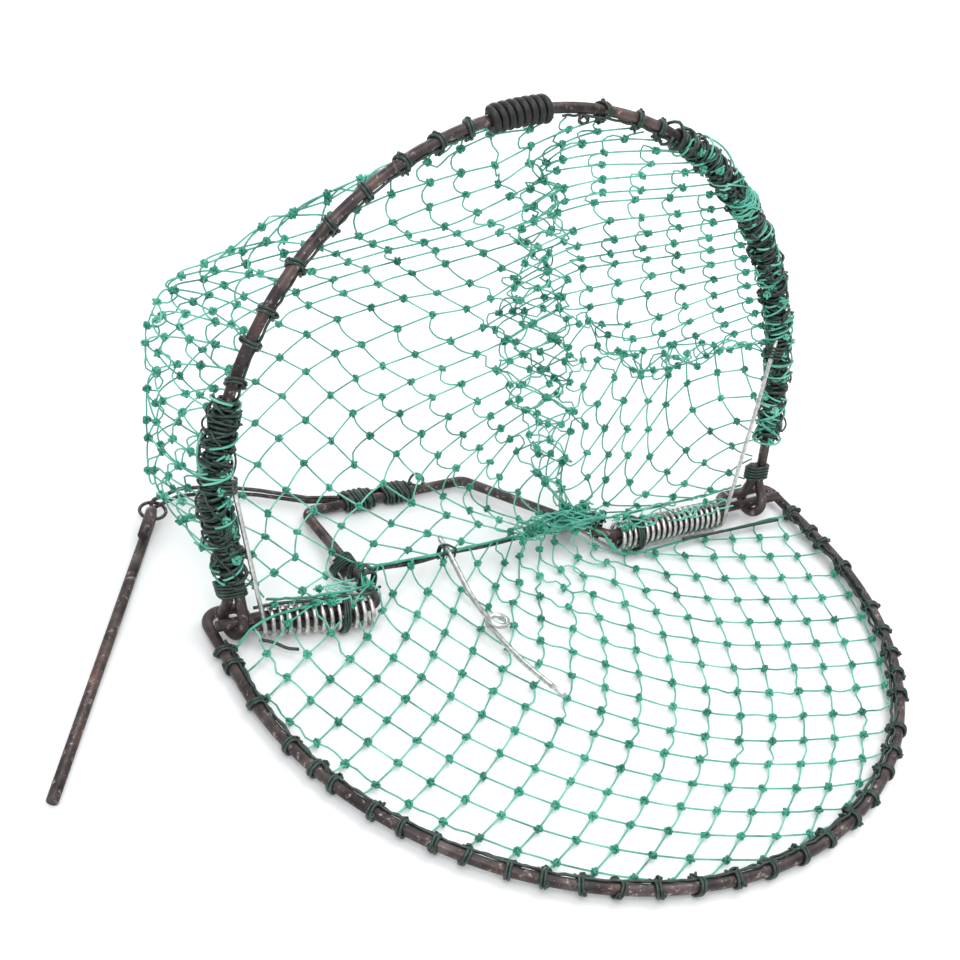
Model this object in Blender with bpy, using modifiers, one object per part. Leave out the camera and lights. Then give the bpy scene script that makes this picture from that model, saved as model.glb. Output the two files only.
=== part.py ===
"""Spring-closed folding net trap, at real size, with its moving hoop standing about half open.

Frame: the origin is midway along the hinge axle, on the surface that the trap stands on.
+X runs along the axle to the right, -Y to the front, where the base hoop lies, and +Z is up.

A steel base hoop lies on the ground and carries a stretched net. A second hoop turns on the axle, which is
the outward-turned ends of the trigger frame, and two torsion springs on the axle throw it forward onto the
base hoop. The net hangs between the hoops as a bag. Behind the axle a lever on a wire tether holds the
moving hoop down, with its tip caught in the loop of the trigger needle.
"""

import math

import bpy
from mathutils import Vector

MM = 0.001

# Stock
ROD = 3.8 * MM
SPRING_WIRE = 1.6 * MM
NEEDLE_WIRE = 2.0 * MM
CROSS_WIRE = 1.9 * MM
TETHER_WIRE = 1.5 * MM
RING_WIRE = 1.3 * MM
GAP = 0.3 * MM

# Levels above the ground
BASE_Z = 3.95 * MM
COIL_Z = 6.05 * MM
AXLE_Z = 8.15 * MM
REAR_BAR_Z = 3.0 * MM

# Base hoop: a half circle on short sides, whose ends turn in behind the axle and run into the coils
BASE_RADIUS = 126.0 * MM
BASE_SIDE = 23.8 * MM
BASE_OVERSHOOT = 10.5 * MM
BASE_END_RIGHT = 40.0 * MM
BASE_END_LEFT = -73.0 * MM

# Moving hoop, in its own plane: x along the axle, d away from the axle, f towards its front face
HOOP_ANGLE = math.radians(105.0)
HOOP_RADIUS = 119.4 * MM
HOOP_CENTRE_X = -8.0 * MM
HOOP_SIDE = 45.0 * MM
EYE_RIGHT = 110.0 * MM
EYE_LEFT = -117.5 * MM
EYE_RADIUS = 4.15 * MM
EYE_NECK = 9.0 * MM
EYE_PITCH = 4.2 * MM
TAIL_TOP = 17.0 * MM

# Trigger frame: its outward-turned ends are the axle
AXLE_RIGHT = 122.0 * MM
AXLE_LEFT = -125.5 * MM
FRAME_RIGHT = Vector((36.0, 0.0)) * MM
FRAME_REAR_RIGHT = Vector((0.6, 50.7)) * MM
FRAME_REAR_LEFT = Vector((-68.3, 50.5)) * MM
FRAME_LEFT = Vector((-67.4, -7.4)) * MM
AXLE_KINK = Vector((-110.0, 0.0)) * MM

# Springs
COIL_RADIUS = 5.15 * MM
COIL_PITCH = 2.7 * MM
LEFT_COIL = (Vector((-109.3, -0.1)) * MM, Vector((-70.8, -6.8)) * MM)
RIGHT_COIL = (Vector((89.7, 0.0)) * MM, Vector((39.4, 0.0)) * MM)
LEG_FRONT = 3.3 * MM
LEFT_LEG_TOP = Vector((-122.8, 57.0)) * MM
RIGHT_LEG_TOP = Vector((104.5, 71.0)) * MM

# Trigger
CROSS_Y = 7.0 * MM
CROSS_Z = 10.5 * MM
CROSS_ENDS = (-69.6 * MM, 33.5 * MM)
NEEDLE_X = -33.5 * MM
NEEDLE_LOOP_RADIUS = 3.4 * MM
NEEDLE_LOOP_Y = -26.0 * MM
NEEDLE_LOOP_Z = 5.0 * MM
NEEDLE_LOOP_RISE = 2.5 * MM

# Lever, its ring and its tether
LEVER_TOP = Vector((-124.5, 61.0)) * MM
LEVER_TIP = Vector((-196.5, -46.5)) * MM
LEVER_Z = 1.95 * MM
LEVER_EYE_RADIUS = 2.8 * MM
LEVER_TAIL = 12.0 * MM
RING_RADIUS = 4.6 * MM
TETHER_BEND = 2.0 * MM
TETHER_Y = 53.7 * MM

# Cords
LACING = 1.0 * MM
BASE_LACING_TURNS = 18
WRAP = 1.6 * MM
SLEEVE_CORD = 2.75 * MM
SLEEVE_TURNS = 7
SLEEVE_FROM = math.radians(102.0)
SLEEVE_TO = math.radians(91.5)

# Nets
NET_THICKNESS = 1.6 * MM
NET_MARGIN = 6.2 * MM
BAG_DEPTH = 52.0 * MM

COLLECTION = "folding_net_trap"


def clear_scene():
    for item in list(bpy.data.objects):
        bpy.data.objects.remove(item, do_unlink=True)


def material(name, colour, roughness, metallic):
    made = bpy.data.materials.new(name)
    made.use_nodes = True
    shader = made.node_tree.nodes["Principled BSDF"]
    shader.inputs["Base Color"].default_value = (*colour, 1.0)
    shader.inputs["Roughness"].default_value = roughness
    shader.inputs["Metallic"].default_value = metallic
    return made


def add(item, collection, parent=None):
    collection.objects.link(item)
    item.parent = parent
    return item


def wire(name, points, diameter, finish, collection, parent=None, resolution=2, cyclic=False):
    """A round wire along the given points, as a curve with filled ends."""
    data = bpy.data.curves.new(name, "CURVE")
    data.dimensions = "3D"
    data.bevel_depth = diameter / 2
    data.bevel_resolution = resolution
    data.use_fill_caps = not cyclic
    spline = data.splines.new("POLY")
    spline.points.add(len(points) - 1)
    for slot, point in zip(spline.points, points):
        slot.co = (*point, 1.0)
    spline.use_cyclic_u = cyclic
    data.materials.append(finish)
    return add(bpy.data.objects.new(name, data), collection, parent)


def at_height(point, z):
    return Vector((point[0], point[1], z))


def rounded(corners, radii, step=math.radians(22.5)):
    """The corner points joined by straight runs, with each inner corner turned at its own radius."""
    path = [corners[0].copy()]
    for before, corner, after, radius in zip(corners, corners[1:], corners[2:], radii):
        back = (before - corner).normalized()
        ahead = (after - corner).normalized()
        inside = back.angle(ahead)
        centre = corner + (back + ahead).normalized() * radius / math.sin(inside / 2)
        start = corner + back * radius / math.tan(inside / 2) - centre
        side = -back * radius
        turn = math.pi - inside
        count = max(2, math.ceil(turn / step))
        path += [
            centre + start * math.cos(turn * k / count) + side * math.sin(turn * k / count)
            for k in range(count + 1)
        ]
    path.append(corners[-1].copy())
    return path


def half_circle(centre, radius, z, segments=36):
    """Points of a half circle from the +X side round through -Y to the -X side."""
    return [
        Vector(
            (
                centre[0] + radius * math.cos(math.pi * k / segments),
                centre[1] - radius * math.sin(math.pi * k / segments),
                z,
            )
        )
        for k in range(segments + 1)
    ]


def base_hoop_path():
    right = rounded(
        [
            Vector((BASE_END_RIGHT, 0, BASE_Z)),
            Vector((95 * MM, 0, BASE_Z)),
            Vector((101 * MM, BASE_OVERSHOOT, BASE_Z)),
            Vector((BASE_RADIUS, BASE_OVERSHOOT, BASE_Z)),
            Vector((BASE_RADIUS, -BASE_SIDE, BASE_Z)),
        ],
        [4 * MM, 4 * MM, 6 * MM],
    )
    coil_from, coil_to = LEFT_COIL
    along = (coil_to - coil_from).normalized()
    stub_end = coil_from + along * (BASE_END_LEFT - coil_from.x) / along.x
    left = rounded(
        [
            at_height(stub_end, BASE_Z),
            at_height(coil_from - along * 2.9 * MM, BASE_Z),
            Vector((-112.2 * MM, BASE_OVERSHOOT, BASE_Z)),
            Vector((-BASE_RADIUS, BASE_OVERSHOOT, BASE_Z)),
            Vector((-BASE_RADIUS, -BASE_SIDE, BASE_Z)),
        ],
        [2.8 * MM, 3.2 * MM, 6 * MM],
    )
    arc = half_circle((0, -BASE_SIDE), BASE_RADIUS, BASE_Z)
    return right[:-1] + arc + left[-2::-1]


def hoop_arc(segments=36):
    """The moving hoop's half circle in its own plane, from the right side over the top to the left."""
    return [hoop_point(math.pi * k / segments) for k in range(segments + 1)]


def hoop_point(angle, out=0.0, front=0.0):
    """A point at an angle on the moving hoop's arc, moved outwards and towards the front face."""
    reach = HOOP_RADIUS + out
    return Vector(
        (HOOP_CENTRE_X + reach * math.cos(angle), HOOP_SIDE + reach * math.sin(angle), front)
    )


def hoop_side(sign, distance):
    """A point on the straight lower part of a moving hoop's side, at a distance from the axle."""
    foot = EYE_RIGHT if sign > 0 else EYE_LEFT
    top = HOOP_CENTRE_X + sign * HOOP_RADIUS
    share = max(0.0, (distance - EYE_NECK) / (HOOP_SIDE - EYE_NECK))
    return Vector((foot + (top - foot) * share, distance, 0))


def eye_path(sign, tail_sign):
    """From the moving hoop's side down round the axle and back up as the doubled tail."""
    side_x = EYE_RIGHT if sign > 0 else EYE_LEFT
    meet = math.acos(EYE_RADIUS / EYE_NECK)
    count = 10
    loop = []
    for k in range(count + 1):
        share = k / count
        angle = meet + share * (2 * math.pi - 2 * meet)
        loop.append(
            Vector(
                (
                    side_x + tail_sign * EYE_PITCH * share,
                    EYE_RADIUS * math.cos(angle),
                    EYE_RADIUS * math.sin(angle),
                )
            )
        )
    neck = Vector((side_x, EYE_NECK, 0))
    tail_foot = Vector((side_x + tail_sign * EYE_PITCH, EYE_NECK, 0))
    tail_top = hoop_side(sign, TAIL_TOP) + Vector((tail_sign * EYE_PITCH, 0, 0))
    return [neck] + loop + [tail_foot, tail_top]


def moving_hoop_path():
    right = eye_path(1, -1)
    left = eye_path(-1, -1)
    return right[::-1] + hoop_arc() + left


def trigger_frame_path():
    corners = [
        Vector((AXLE_LEFT, 0, AXLE_Z)),
        at_height(AXLE_KINK, AXLE_Z),
        at_height(FRAME_LEFT, AXLE_Z),
        at_height(FRAME_REAR_LEFT, REAR_BAR_Z),
        at_height(FRAME_REAR_RIGHT, REAR_BAR_Z),
        at_height(FRAME_RIGHT, AXLE_Z),
        Vector((AXLE_RIGHT, 0, AXLE_Z)),
    ]
    return rounded(corners, [8 * MM, 4.5 * MM, 4 * MM, 5 * MM, 5 * MM])


def frame_height(y, side):
    """Height of the trigger frame's centre line at a distance behind the axle."""
    front, rear = (FRAME_LEFT, FRAME_REAR_LEFT) if side < 0 else (FRAME_RIGHT, FRAME_REAR_RIGHT)
    return AXLE_Z + (REAR_BAR_Z - AXLE_Z) * (y - front.y) / (rear.y - front.y)


def frame_side_x(y, side):
    front, rear = (FRAME_LEFT, FRAME_REAR_LEFT) if side < 0 else (FRAME_RIGHT, FRAME_REAR_RIGHT)
    return front.x + (rear.x - front.x) * (y - front.y) / (rear.y - front.y)


def hoop_to_world(point):
    """From the moving hoop's own coordinates to the trap's."""
    away = Vector((0, -math.cos(HOOP_ANGLE), math.sin(HOOP_ANGLE)))
    front = Vector((0, -math.sin(HOOP_ANGLE), -math.cos(HOOP_ANGLE)))
    return Vector((point[0], 0, AXLE_Z)) + away * point[1] + front * point[2]


def spring_path(coil, leg_top, inner_leg_end, points_per_turn=10):
    """A torsion spring: leg along the moving hoop, coil round the axle, leg under the trigger frame."""
    outer, inner = coil
    along = inner - outer
    turns = round(along.length / COIL_PITCH)
    level = Vector((-along.y, along.x)).normalized()
    if level.y < 0:
        level = -level
    start = math.pi - (HOOP_ANGLE - math.pi / 2)
    end = -math.pi / 2
    sweep = turns * 2 * math.pi + end - start
    steps = round(sweep / (2 * math.pi) * points_per_turn)
    path = [hoop_to_world(Vector((leg_top.x, leg_top.y, LEG_FRONT)))]
    for k in range(steps + 1):
        share = k / steps
        angle = start + sweep * share
        centre = outer + along * share
        flat = centre + level * COIL_RADIUS * math.cos(angle)
        path.append(Vector((flat.x, flat.y, COIL_Z + COIL_RADIUS * math.sin(angle))))
    path.append(inner_leg_end)
    return path


def needle_path():
    """Rear hook, bow over the cross wire, flat catch loop, and a rising front tip."""
    loop_centre = Vector((NEEDLE_X + NEEDLE_LOOP_RADIUS, NEEDLE_LOOP_Y))
    path = [
        Vector((NEEDLE_X + 1.5 * MM, 14.5 * MM, 11.6 * MM)),
        Vector((NEEDLE_X, 12.0 * MM, 12.7 * MM)),
        Vector((NEEDLE_X, CROSS_Y, CROSS_Z + (CROSS_WIRE + NEEDLE_WIRE) / 2 + GAP)),
    ]
    drop_from = path[-1]
    drop_to = Vector((NEEDLE_X, NEEDLE_LOOP_Y, NEEDLE_LOOP_Z + NEEDLE_LOOP_RISE))
    for k in range(1, 8):
        share = k / 8
        point = drop_from.lerp(drop_to, share)
        point.z -= 3.2 * MM * math.sin(math.pi * share) * (0.35 + share * 0.65)
        path.append(point)
    count = 14
    for k in range(count + 1):
        angle = math.pi + 2 * math.pi * k / count
        path.append(
            Vector(
                (
                    loop_centre.x + NEEDLE_LOOP_RADIUS * math.cos(angle),
                    loop_centre.y + NEEDLE_LOOP_RADIUS * math.sin(angle),
                    NEEDLE_LOOP_Z + NEEDLE_LOOP_RISE * (1 - k / count),
                )
            )
        )
    tip = Vector((NEEDLE_X, -71.0 * MM, 14.8 * MM))
    loop_end = path[-1]
    for k in range(1, 7):
        share = k / 6
        point = loop_end.lerp(tip, share)
        point.z -= 1.6 * MM * math.sin(math.pi * share)
        path.append(point)
    return path


def lever_heading():
    return at_height((LEVER_TOP - LEVER_TIP).normalized(), 0)


def ring_centre():
    """The ring lies level, with its near side inside the lever's eye."""
    return at_height(LEVER_TOP, LEVER_Z + LEVER_EYE_RADIUS) + lever_heading() * RING_RADIUS


def lever_path():
    """Straight from the cut tip to the top, where the rod turns over itself into an eye."""
    along = (LEVER_TOP - LEVER_TIP).normalized()
    path = [at_height(LEVER_TIP, LEVER_Z), at_height(LEVER_TOP, LEVER_Z)]
    count = 8
    for k in range(1, count + 1):
        angle = math.pi * k / count
        spot = LEVER_TOP + along * LEVER_EYE_RADIUS * math.sin(angle)
        rise = LEVER_Z + LEVER_EYE_RADIUS * (1 - math.cos(angle))
        path.append(at_height(spot, rise))
    end = LEVER_TOP - along * LEVER_TAIL
    path.append(at_height(end, LEVER_Z + 2 * LEVER_EYE_RADIUS - 0.9 * MM))
    return path


def tether_path():
    """One wire out along the ground, round the ring's far side, and back on top of itself."""
    route = [
        (-21.0, TETHER_Y / MM, 2.1, 3.9),
        (-52.0, TETHER_Y / MM, 2.1, 3.9),
        (-64.0, 57.0, 1.9, 3.8),
        (-80.0, 66.0, 1.7, 3.9),
        (-95.0, 71.8, 1.8, 4.6),
        (-109.0, 72.4, 2.5, 6.0),
    ]
    out = [Vector((x, y, low)) * MM for x, y, low, _ in route]
    back = [Vector((x, y, high)) * MM for x, y, _, high in route]
    centre = ring_centre() + lever_heading() * RING_RADIUS
    heading = (centre - out[-1].lerp(back[-1], 0.5)).normalized()
    count = 8
    bend = [
        centre
        + heading * TETHER_BEND * math.sin(math.pi * k / count)
        - Vector((0, 0, TETHER_BEND * math.cos(math.pi * k / count)))
        for k in range(count + 1)
    ]
    return out + bend + back[::-1]


def ring_path(centre, radius, count=20):
    return [
        centre
        + Vector(
            (
                radius * math.cos(2 * math.pi * k / count),
                radius * math.sin(2 * math.pi * k / count),
                0,
            )
        )
        for k in range(count)
    ]


def squarish(angle):
    """A point on a circle drawn out towards a square, so that a loop clears two bars side by side."""
    flat, high = math.cos(angle), math.sin(angle)
    return math.copysign(abs(flat) ** 0.65, flat), math.copysign(abs(high) ** 0.65, high)


def lashing_path(start, end, across, up, half_across, half_up, turns, points_per_turn=12):
    """Turns of cord from start to end round two bars, with half widths across and up."""
    steps = round(turns * points_per_turn)
    path = []
    for k in range(steps + 1):
        share = k / steps
        flat, high = squarish(math.pi / points_per_turn + 2 * math.pi * turns * share)
        path.append(start.lerp(end, share) + across * half_across * flat + up * half_up * high)
    return path


def crossing_path(centre, axis, across, up, half_across, half_up, reach, drift, points_per_turn=12):
    """Two loops, one on each side of a crossing wire, joined over the top."""
    steps = 2 * points_per_turn
    path = []
    for k in range(steps + 1):
        turn = 4 * math.pi * k / steps
        flat, high = squarish(turn - math.pi / 2)
        over = min(1.0, max(0.0, (turn - (2 * math.pi + 2.2)) / 1.9))
        slide = -reach + 2 * reach * over + drift * (turn / (2 * math.pi) - 1)
        path.append(
            centre
            + axis * slide
            + across * half_across * flat
            + up * half_up * high
        )
    return path


def hoop_spiral(angle_from, angle_to, reach, turns, points_per_turn=8):
    """A cord that winds round the moving hoop's arc between two angles."""
    steps = round(turns * points_per_turn)
    path = []
    for k in range(steps + 1):
        share = k / steps
        turn = 2 * math.pi * turns * share
        angle = angle_from + (angle_to - angle_from) * share
        path.append(hoop_point(angle, reach * math.cos(turn), reach * math.sin(turn)))
    return path


def hoop_side_spiral(sign, start, end, reach, turns, points_per_turn=8):
    """A cord that winds round the moving hoop's straight side between two distances."""
    steps = round(turns * points_per_turn)
    path = []
    for k in range(steps + 1):
        share = k / steps
        turn = 2 * math.pi * turns * share
        point = hoop_side(sign, start + (end - start) * share)
        path.append(point + Vector((reach * math.cos(turn), 0, reach * math.sin(turn))))
    return path


def base_spiral(reach, turns, angle_from, angle_to, points_per_turn=8):
    steps = round(turns * points_per_turn)
    path = []
    for k in range(steps + 1):
        share = k / steps
        turn = 2 * math.pi * turns * share
        angle = angle_from + (angle_to - angle_from) * share
        radius = BASE_RADIUS + reach * math.cos(turn)
        path.append(
            Vector(
                (
                    radius * math.cos(angle),
                    -BASE_SIDE - radius * math.sin(angle),
                    BASE_Z + reach * math.sin(turn),
                )
            )
        )
    return path


def edge_cord_path():
    """The net's edge cord, just inside the base hoop's lacing."""
    inset = ROD / 2 + GAP + LACING + GAP + 0.9 * MM
    start, end = math.radians(6), math.radians(174)
    count = 40
    return [
        Vector(
            (
                (BASE_RADIUS - inset) * math.cos(start + (end - start) * k / count),
                -BASE_SIDE - (BASE_RADIUS - inset) * math.sin(start + (end - start) * k / count),
                BASE_Z,
            )
        )
        for k in range(count + 1)
    ]


def floor_net(finish, collection):
    """The stretched net as a plate: a half disc with a tongue back to the cross wire."""
    data = bpy.data.curves.new("floor_net", "CURVE")
    data.dimensions = "2D"
    data.fill_mode = "BOTH"
    data.extrude = NET_THICKNESS / 2
    arc = half_circle((0, -BASE_SIDE), BASE_RADIUS - NET_MARGIN, 0, 32)
    back = [
        (-BASE_RADIUS + NET_MARGIN, -10 * MM),
        (-64 * MM, -15 * MM),
        (-64 * MM, 5 * MM),
        (31 * MM, 5 * MM),
        (34 * MM, -8.5 * MM),
        (BASE_RADIUS - NET_MARGIN, -8.5 * MM),
    ]
    outline = [(point.x, point.y) for point in arc] + back
    spline = data.splines.new("POLY")
    spline.points.add(len(outline) - 1)
    for slot, (x, y) in zip(spline.points, outline):
        slot.co = (x, y, 0, 1)
    spline.use_cyclic_u = True
    data.materials.append(finish)
    plate = add(bpy.data.objects.new("floor_net", data), collection)
    plate.location.z = NET_THICKNESS / 2
    return plate


def bag_net(finish, collection, parent):
    """The bag as a bulged sheet behind the moving hoop: a square grid drawn into a D, with thickness."""
    bpy.ops.mesh.primitive_grid_add(x_subdivisions=14, y_subdivisions=10, size=2)
    bag = bpy.context.active_object
    bag.name = "bag_net"
    for other in list(bag.users_collection):
        other.objects.unlink(bag)
    inset = 7.5 * MM
    reach = HOOP_RADIUS - inset
    foot = 16 * MM
    for vertex in bag.data.vertices:
        u, v = vertex.co.x, vertex.co.y
        wide = u * math.sqrt(1 - 0.36 * ((v + 1) / 2) ** 2 * 2)
        tall = (v + 1) / 2
        top = HOOP_SIDE + reach * math.sqrt(max(0.0, 1 - wide * wide))
        d = foot + (top - foot) * tall
        side = reach * wide
        edge = (1 - u * u) * (1 - ((2 * tall - 1) ** 4))
        depth = 5.5 * MM + (BAG_DEPTH - 5.5 * MM) * max(0.0, edge) ** 0.6
        vertex.co = Vector((HOOP_CENTRE_X + side, d, -depth))
    shell = bag.modifiers.new("thickness", "SOLIDIFY")
    shell.thickness = NET_THICKNESS
    shell.offset = 0
    bag.data.materials.append(finish)
    return add(bag, collection, parent)


def build():
    clear_scene()
    collection = bpy.data.collections.new(COLLECTION)
    bpy.context.scene.collection.children.link(collection)

    steel = material("rusted_steel", (0.16, 0.11, 0.09), 0.5, 0.8)
    bright = material("bright_wire", (0.62, 0.60, 0.57), 0.3, 1.0)
    dark = material("dark_wire", (0.06, 0.06, 0.055), 0.5, 0.8)
    cord = material("dark_cord", (0.03, 0.06, 0.045), 0.8, 0.0)
    rubber = material("black_sleeve", (0.02, 0.02, 0.022), 0.6, 0.0)
    net = material("green_net", (0.12, 0.5, 0.38), 0.6, 0.0)

    hinge = bpy.data.objects.new("hoop_hinge", None)
    hinge.location = (0, 0, AXLE_Z)
    hinge.rotation_euler = (math.pi - HOOP_ANGLE, 0, 0)
    add(hinge, collection)

    build_base(collection, steel, dark, cord, net)
    build_hoop(collection, hinge, steel, cord, rubber, net)
    build_springs(collection, bright, cord)
    build_trigger(collection, bright, cord)
    build_lever(collection, steel, dark)


def build_base(collection, steel, dark, cord, net):
    wire("base_hoop", base_hoop_path(), ROD, steel, collection)
    wire("trigger_frame", trigger_frame_path(), ROD, steel, collection)
    cross = [
        Vector((CROSS_ENDS[0], CROSS_Y, CROSS_Z)),
        Vector((CROSS_ENDS[1], CROSS_Y, CROSS_Z)),
    ]
    wire("cross_wire", cross, CROSS_WIRE, dark, collection)
    reach = ROD / 2 + GAP + LACING / 2 + 0.25 * MM
    lacing = base_spiral(reach, BASE_LACING_TURNS, math.radians(8), math.radians(172))
    wire("base_lacing", lacing, LACING, cord, collection, resolution=0)
    wire("edge_cord", edge_cord_path(), LACING, cord, collection, resolution=0)
    floor_net(net, collection)
    for side, name in ((-1, "cross_lashing_left"), (1, "cross_lashing_right")):
        low = frame_height(CROSS_Y, side)
        centre = Vector((frame_side_x(CROSS_Y, side), CROSS_Y, (low + CROSS_Z) / 2))
        rear = FRAME_REAR_LEFT if side < 0 else FRAME_REAR_RIGHT
        front = FRAME_LEFT if side < 0 else FRAME_RIGHT
        axis = at_height((rear - front).normalized(), 0)
        across = Vector((axis.y, -axis.x, 0))
        path = crossing_path(
            centre,
            axis,
            across,
            Vector((0, 0, 1)),
            ROD / 2 + 1.0 * MM,
            (CROSS_Z - low) / 2 + ROD / 2 + 1.2 * MM,
            2.6 * MM,
            LACING + GAP,
        )
        wire(name, path, LACING, cord, collection, resolution=0)


def build_hoop(collection, hinge, steel, cord, rubber, net):
    wire("moving_hoop", moving_hoop_path(), ROD, steel, collection, hinge)
    reach = ROD / 2 + GAP + SLEEVE_CORD / 2
    sleeve = hoop_spiral(SLEEVE_FROM, SLEEVE_TO, reach + 0.15 * MM, SLEEVE_TURNS, 10)
    wire("grip_sleeve", sleeve, SLEEVE_CORD, rubber, collection, hinge, resolution=0)
    lace = ROD / 2 + GAP + LACING / 2 + 0.25 * MM
    left = hoop_spiral(math.radians(157), math.radians(106), lace, 6)
    wire("hoop_lacing_left", left, LACING, cord, collection, hinge, resolution=0)
    right = hoop_spiral(math.radians(88), math.radians(58), lace, 4)
    wire("hoop_lacing_right", right, LACING, cord, collection, hinge, resolution=0)
    thick = ROD / 2 + GAP + WRAP / 2 + 0.25 * MM
    lower_left = hoop_side_spiral(-1, 21 * MM, 43 * MM, thick, 4)
    wire("side_wrap_left", lower_left, WRAP, cord, collection, hinge, resolution=0)
    upper_left = hoop_spiral(math.radians(172), math.radians(159), thick, 5)
    wire("shoulder_wrap_left", upper_left, WRAP, cord, collection, hinge, resolution=0)
    lower_right = hoop_side_spiral(1, 21 * MM, 43 * MM, thick, 4)
    wire("side_wrap_right", lower_right, WRAP, cord, collection, hinge, resolution=0)
    upper_right = hoop_spiral(math.radians(16), math.radians(55), thick, 14)
    wire("shoulder_wrap_right", upper_right, WRAP, cord, collection, hinge, resolution=0)
    build_hoop_lashings(collection, hinge, cord)
    bag_net(net, collection, hinge)


def build_hoop_lashings(collection, hinge, cord):
    across = Vector((1, 0, 0))
    front = Vector((0, 0, 1))
    for sign, name in ((-1, "eye_lashing_left"), (1, "eye_lashing_right")):
        shift = Vector((-EYE_PITCH / 2, 0, 0))
        start = hoop_side(sign, 11.5 * MM) + shift
        end = hoop_side(sign, 15.0 * MM) + shift
        half = EYE_PITCH / 2 + ROD / 2 + 1.1 * MM
        path = lashing_path(start, end, across, front, half, ROD / 2 + 1.1 * MM, 2.5)
        wire(name, path, LACING, cord, collection, hinge, resolution=0)
    for sign, top, name in (
        (-1, LEFT_LEG_TOP, "leg_lashing_left"),
        (1, RIGHT_LEG_TOP, "leg_lashing_right"),
    ):
        angle = math.asin((top.y - 4.5 * MM - HOOP_SIDE) / HOOP_RADIUS)
        angle = math.pi - angle if sign < 0 else angle
        spot = hoop_point(angle)
        leg = Vector((top.x, spot.y, LEG_FRONT))
        middle = (spot + leg) / 2
        middle.y = spot.y
        lean = leg - spot
        lean.y = 0
        up = lean.normalized()
        side = Vector((up.z, 0, -up.x))
        half_up = lean.length / 2 + (ROD + SPRING_WIRE) / 4 + 1.75 * MM
        offset = up * (SPRING_WIRE - ROD) / 4
        start = middle + offset - Vector((0, 2.2 * MM, 0))
        end = middle + offset + Vector((0, 2.2 * MM, 0))
        path = lashing_path(start, end, side, up, ROD / 2 + 1.5 * MM, half_up, 2.5)
        wire(name, path, LACING, cord, collection, hinge, resolution=0)


def build_springs(collection, bright, cord):
    left_end = Vector((LEFT_COIL[1].x - 0.4 * MM, 24 * MM, 3.3 * MM))
    right_end = Vector((24.5, 24.0, 3.3)) * MM
    left = spring_path(LEFT_COIL, LEFT_LEG_TOP, left_end)
    right = spring_path(RIGHT_COIL, RIGHT_LEG_TOP, right_end)
    wire("left_spring", left, SPRING_WIRE, bright, collection, resolution=0)
    wire("right_spring", right, SPRING_WIRE, bright, collection, resolution=0)
    for side, name, leg_end in (
        (-1, "spring_lashing_left", left_end),
        (1, "spring_lashing_right", right_end),
    ):
        y = 17.5 * MM
        rod = Vector((frame_side_x(y, side), y, frame_height(y, side)))
        coil_end = LEFT_COIL[1] if side < 0 else RIGHT_COIL[1]
        share = (y - coil_end.y) / (leg_end.y - coil_end.y)
        leg = Vector((coil_end.x + (leg_end.x - coil_end.x) * share, y, (0.9 + 2.4 * share) * MM))
        front = FRAME_LEFT if side < 0 else FRAME_RIGHT
        rear = FRAME_REAR_LEFT if side < 0 else FRAME_REAR_RIGHT
        axis = at_height((rear - front).normalized(), 0)
        lean = rod - leg
        lean -= axis * lean.dot(axis)
        up = lean.normalized()
        across = axis.cross(up)
        centre = leg + lean / 2 + up * (ROD - SPRING_WIRE) / 4
        half_up = lean.length / 2 + (ROD + SPRING_WIRE) / 4 + 0.95 * MM
        path = lashing_path(
            centre - axis * 2 * MM,
            centre + axis * 2 * MM,
            across,
            up,
            ROD / 2 + 1.0 * MM,
            half_up,
            2.5,
        )
        wire(name, path, 0.8 * MM, cord, collection, resolution=0)


def build_trigger(collection, bright, cord):
    pivot = bpy.data.objects.new("needle_pivot", None)
    pivot.location = (NEEDLE_X, CROSS_Y, CROSS_Z)
    add(pivot, collection)
    here = Vector(pivot.location)
    path = [point - here for point in needle_path()]
    wire("trigger_needle", path, NEEDLE_WIRE, bright, collection, pivot, resolution=1)
    stack = (CROSS_WIRE + NEEDLE_WIRE) / 2 + GAP
    tie = crossing_path(
        Vector((0, 0, stack / 2)),
        Vector((1, 0, 0)),
        Vector((0, 1, 0)),
        Vector((0, 0, 1)),
        CROSS_WIRE / 2 + 1.0 * MM,
        stack / 2 + NEEDLE_WIRE / 2 + 0.85 * MM,
        2.0 * MM,
        1.1 * MM,
    )
    wire("needle_lashing", tie, 0.8 * MM, cord, collection, pivot, resolution=0)


def build_lever(collection, steel, dark):
    ring_pivot = bpy.data.objects.new("ring_pivot", None)
    ring_pivot.location = ring_centre()
    add(ring_pivot, collection)
    ring = ring_path(Vector((0, 0, 0)), RING_RADIUS)
    wire("link_ring", ring, RING_WIRE, dark, collection, ring_pivot, resolution=1, cyclic=True)
    lever_pivot = bpy.data.objects.new("lever_pivot", None)
    lever_pivot.location = at_height(LEVER_TOP, LEVER_Z + LEVER_EYE_RADIUS)
    add(lever_pivot, collection)
    here = Vector(lever_pivot.location)
    path = [point - here for point in lever_path()]
    wire("lever_rod", path, ROD, steel, collection, lever_pivot)
    wire("tether_wire", tether_path(), TETHER_WIRE, dark, collection, resolution=1)
    build_tether_lashing(collection)


def build_tether_lashing(collection):
    cord = bpy.data.materials["dark_cord"]
    rear = FRAME_REAR_LEFT.lerp(FRAME_REAR_RIGHT, 0.5)
    front_y = rear.y - ROD / 2
    back_y = TETHER_Y + TETHER_WIRE / 2
    centre_y = (front_y + back_y) / 2
    start = Vector((-50 * MM, centre_y, REAR_BAR_Z))
    end = Vector((-24 * MM, centre_y, REAR_BAR_Z))
    half_y = (back_y - front_y) / 2 + 1.0 * MM
    path = lashing_path(
        start, end, Vector((0, 1, 0)), Vector((0, 0, 1)), half_y, REAR_BAR_Z - 0.4 * MM, 6
    )
    wire("tether_lashing", path, 0.7 * MM, cord, collection, resolution=0)


build()
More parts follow.
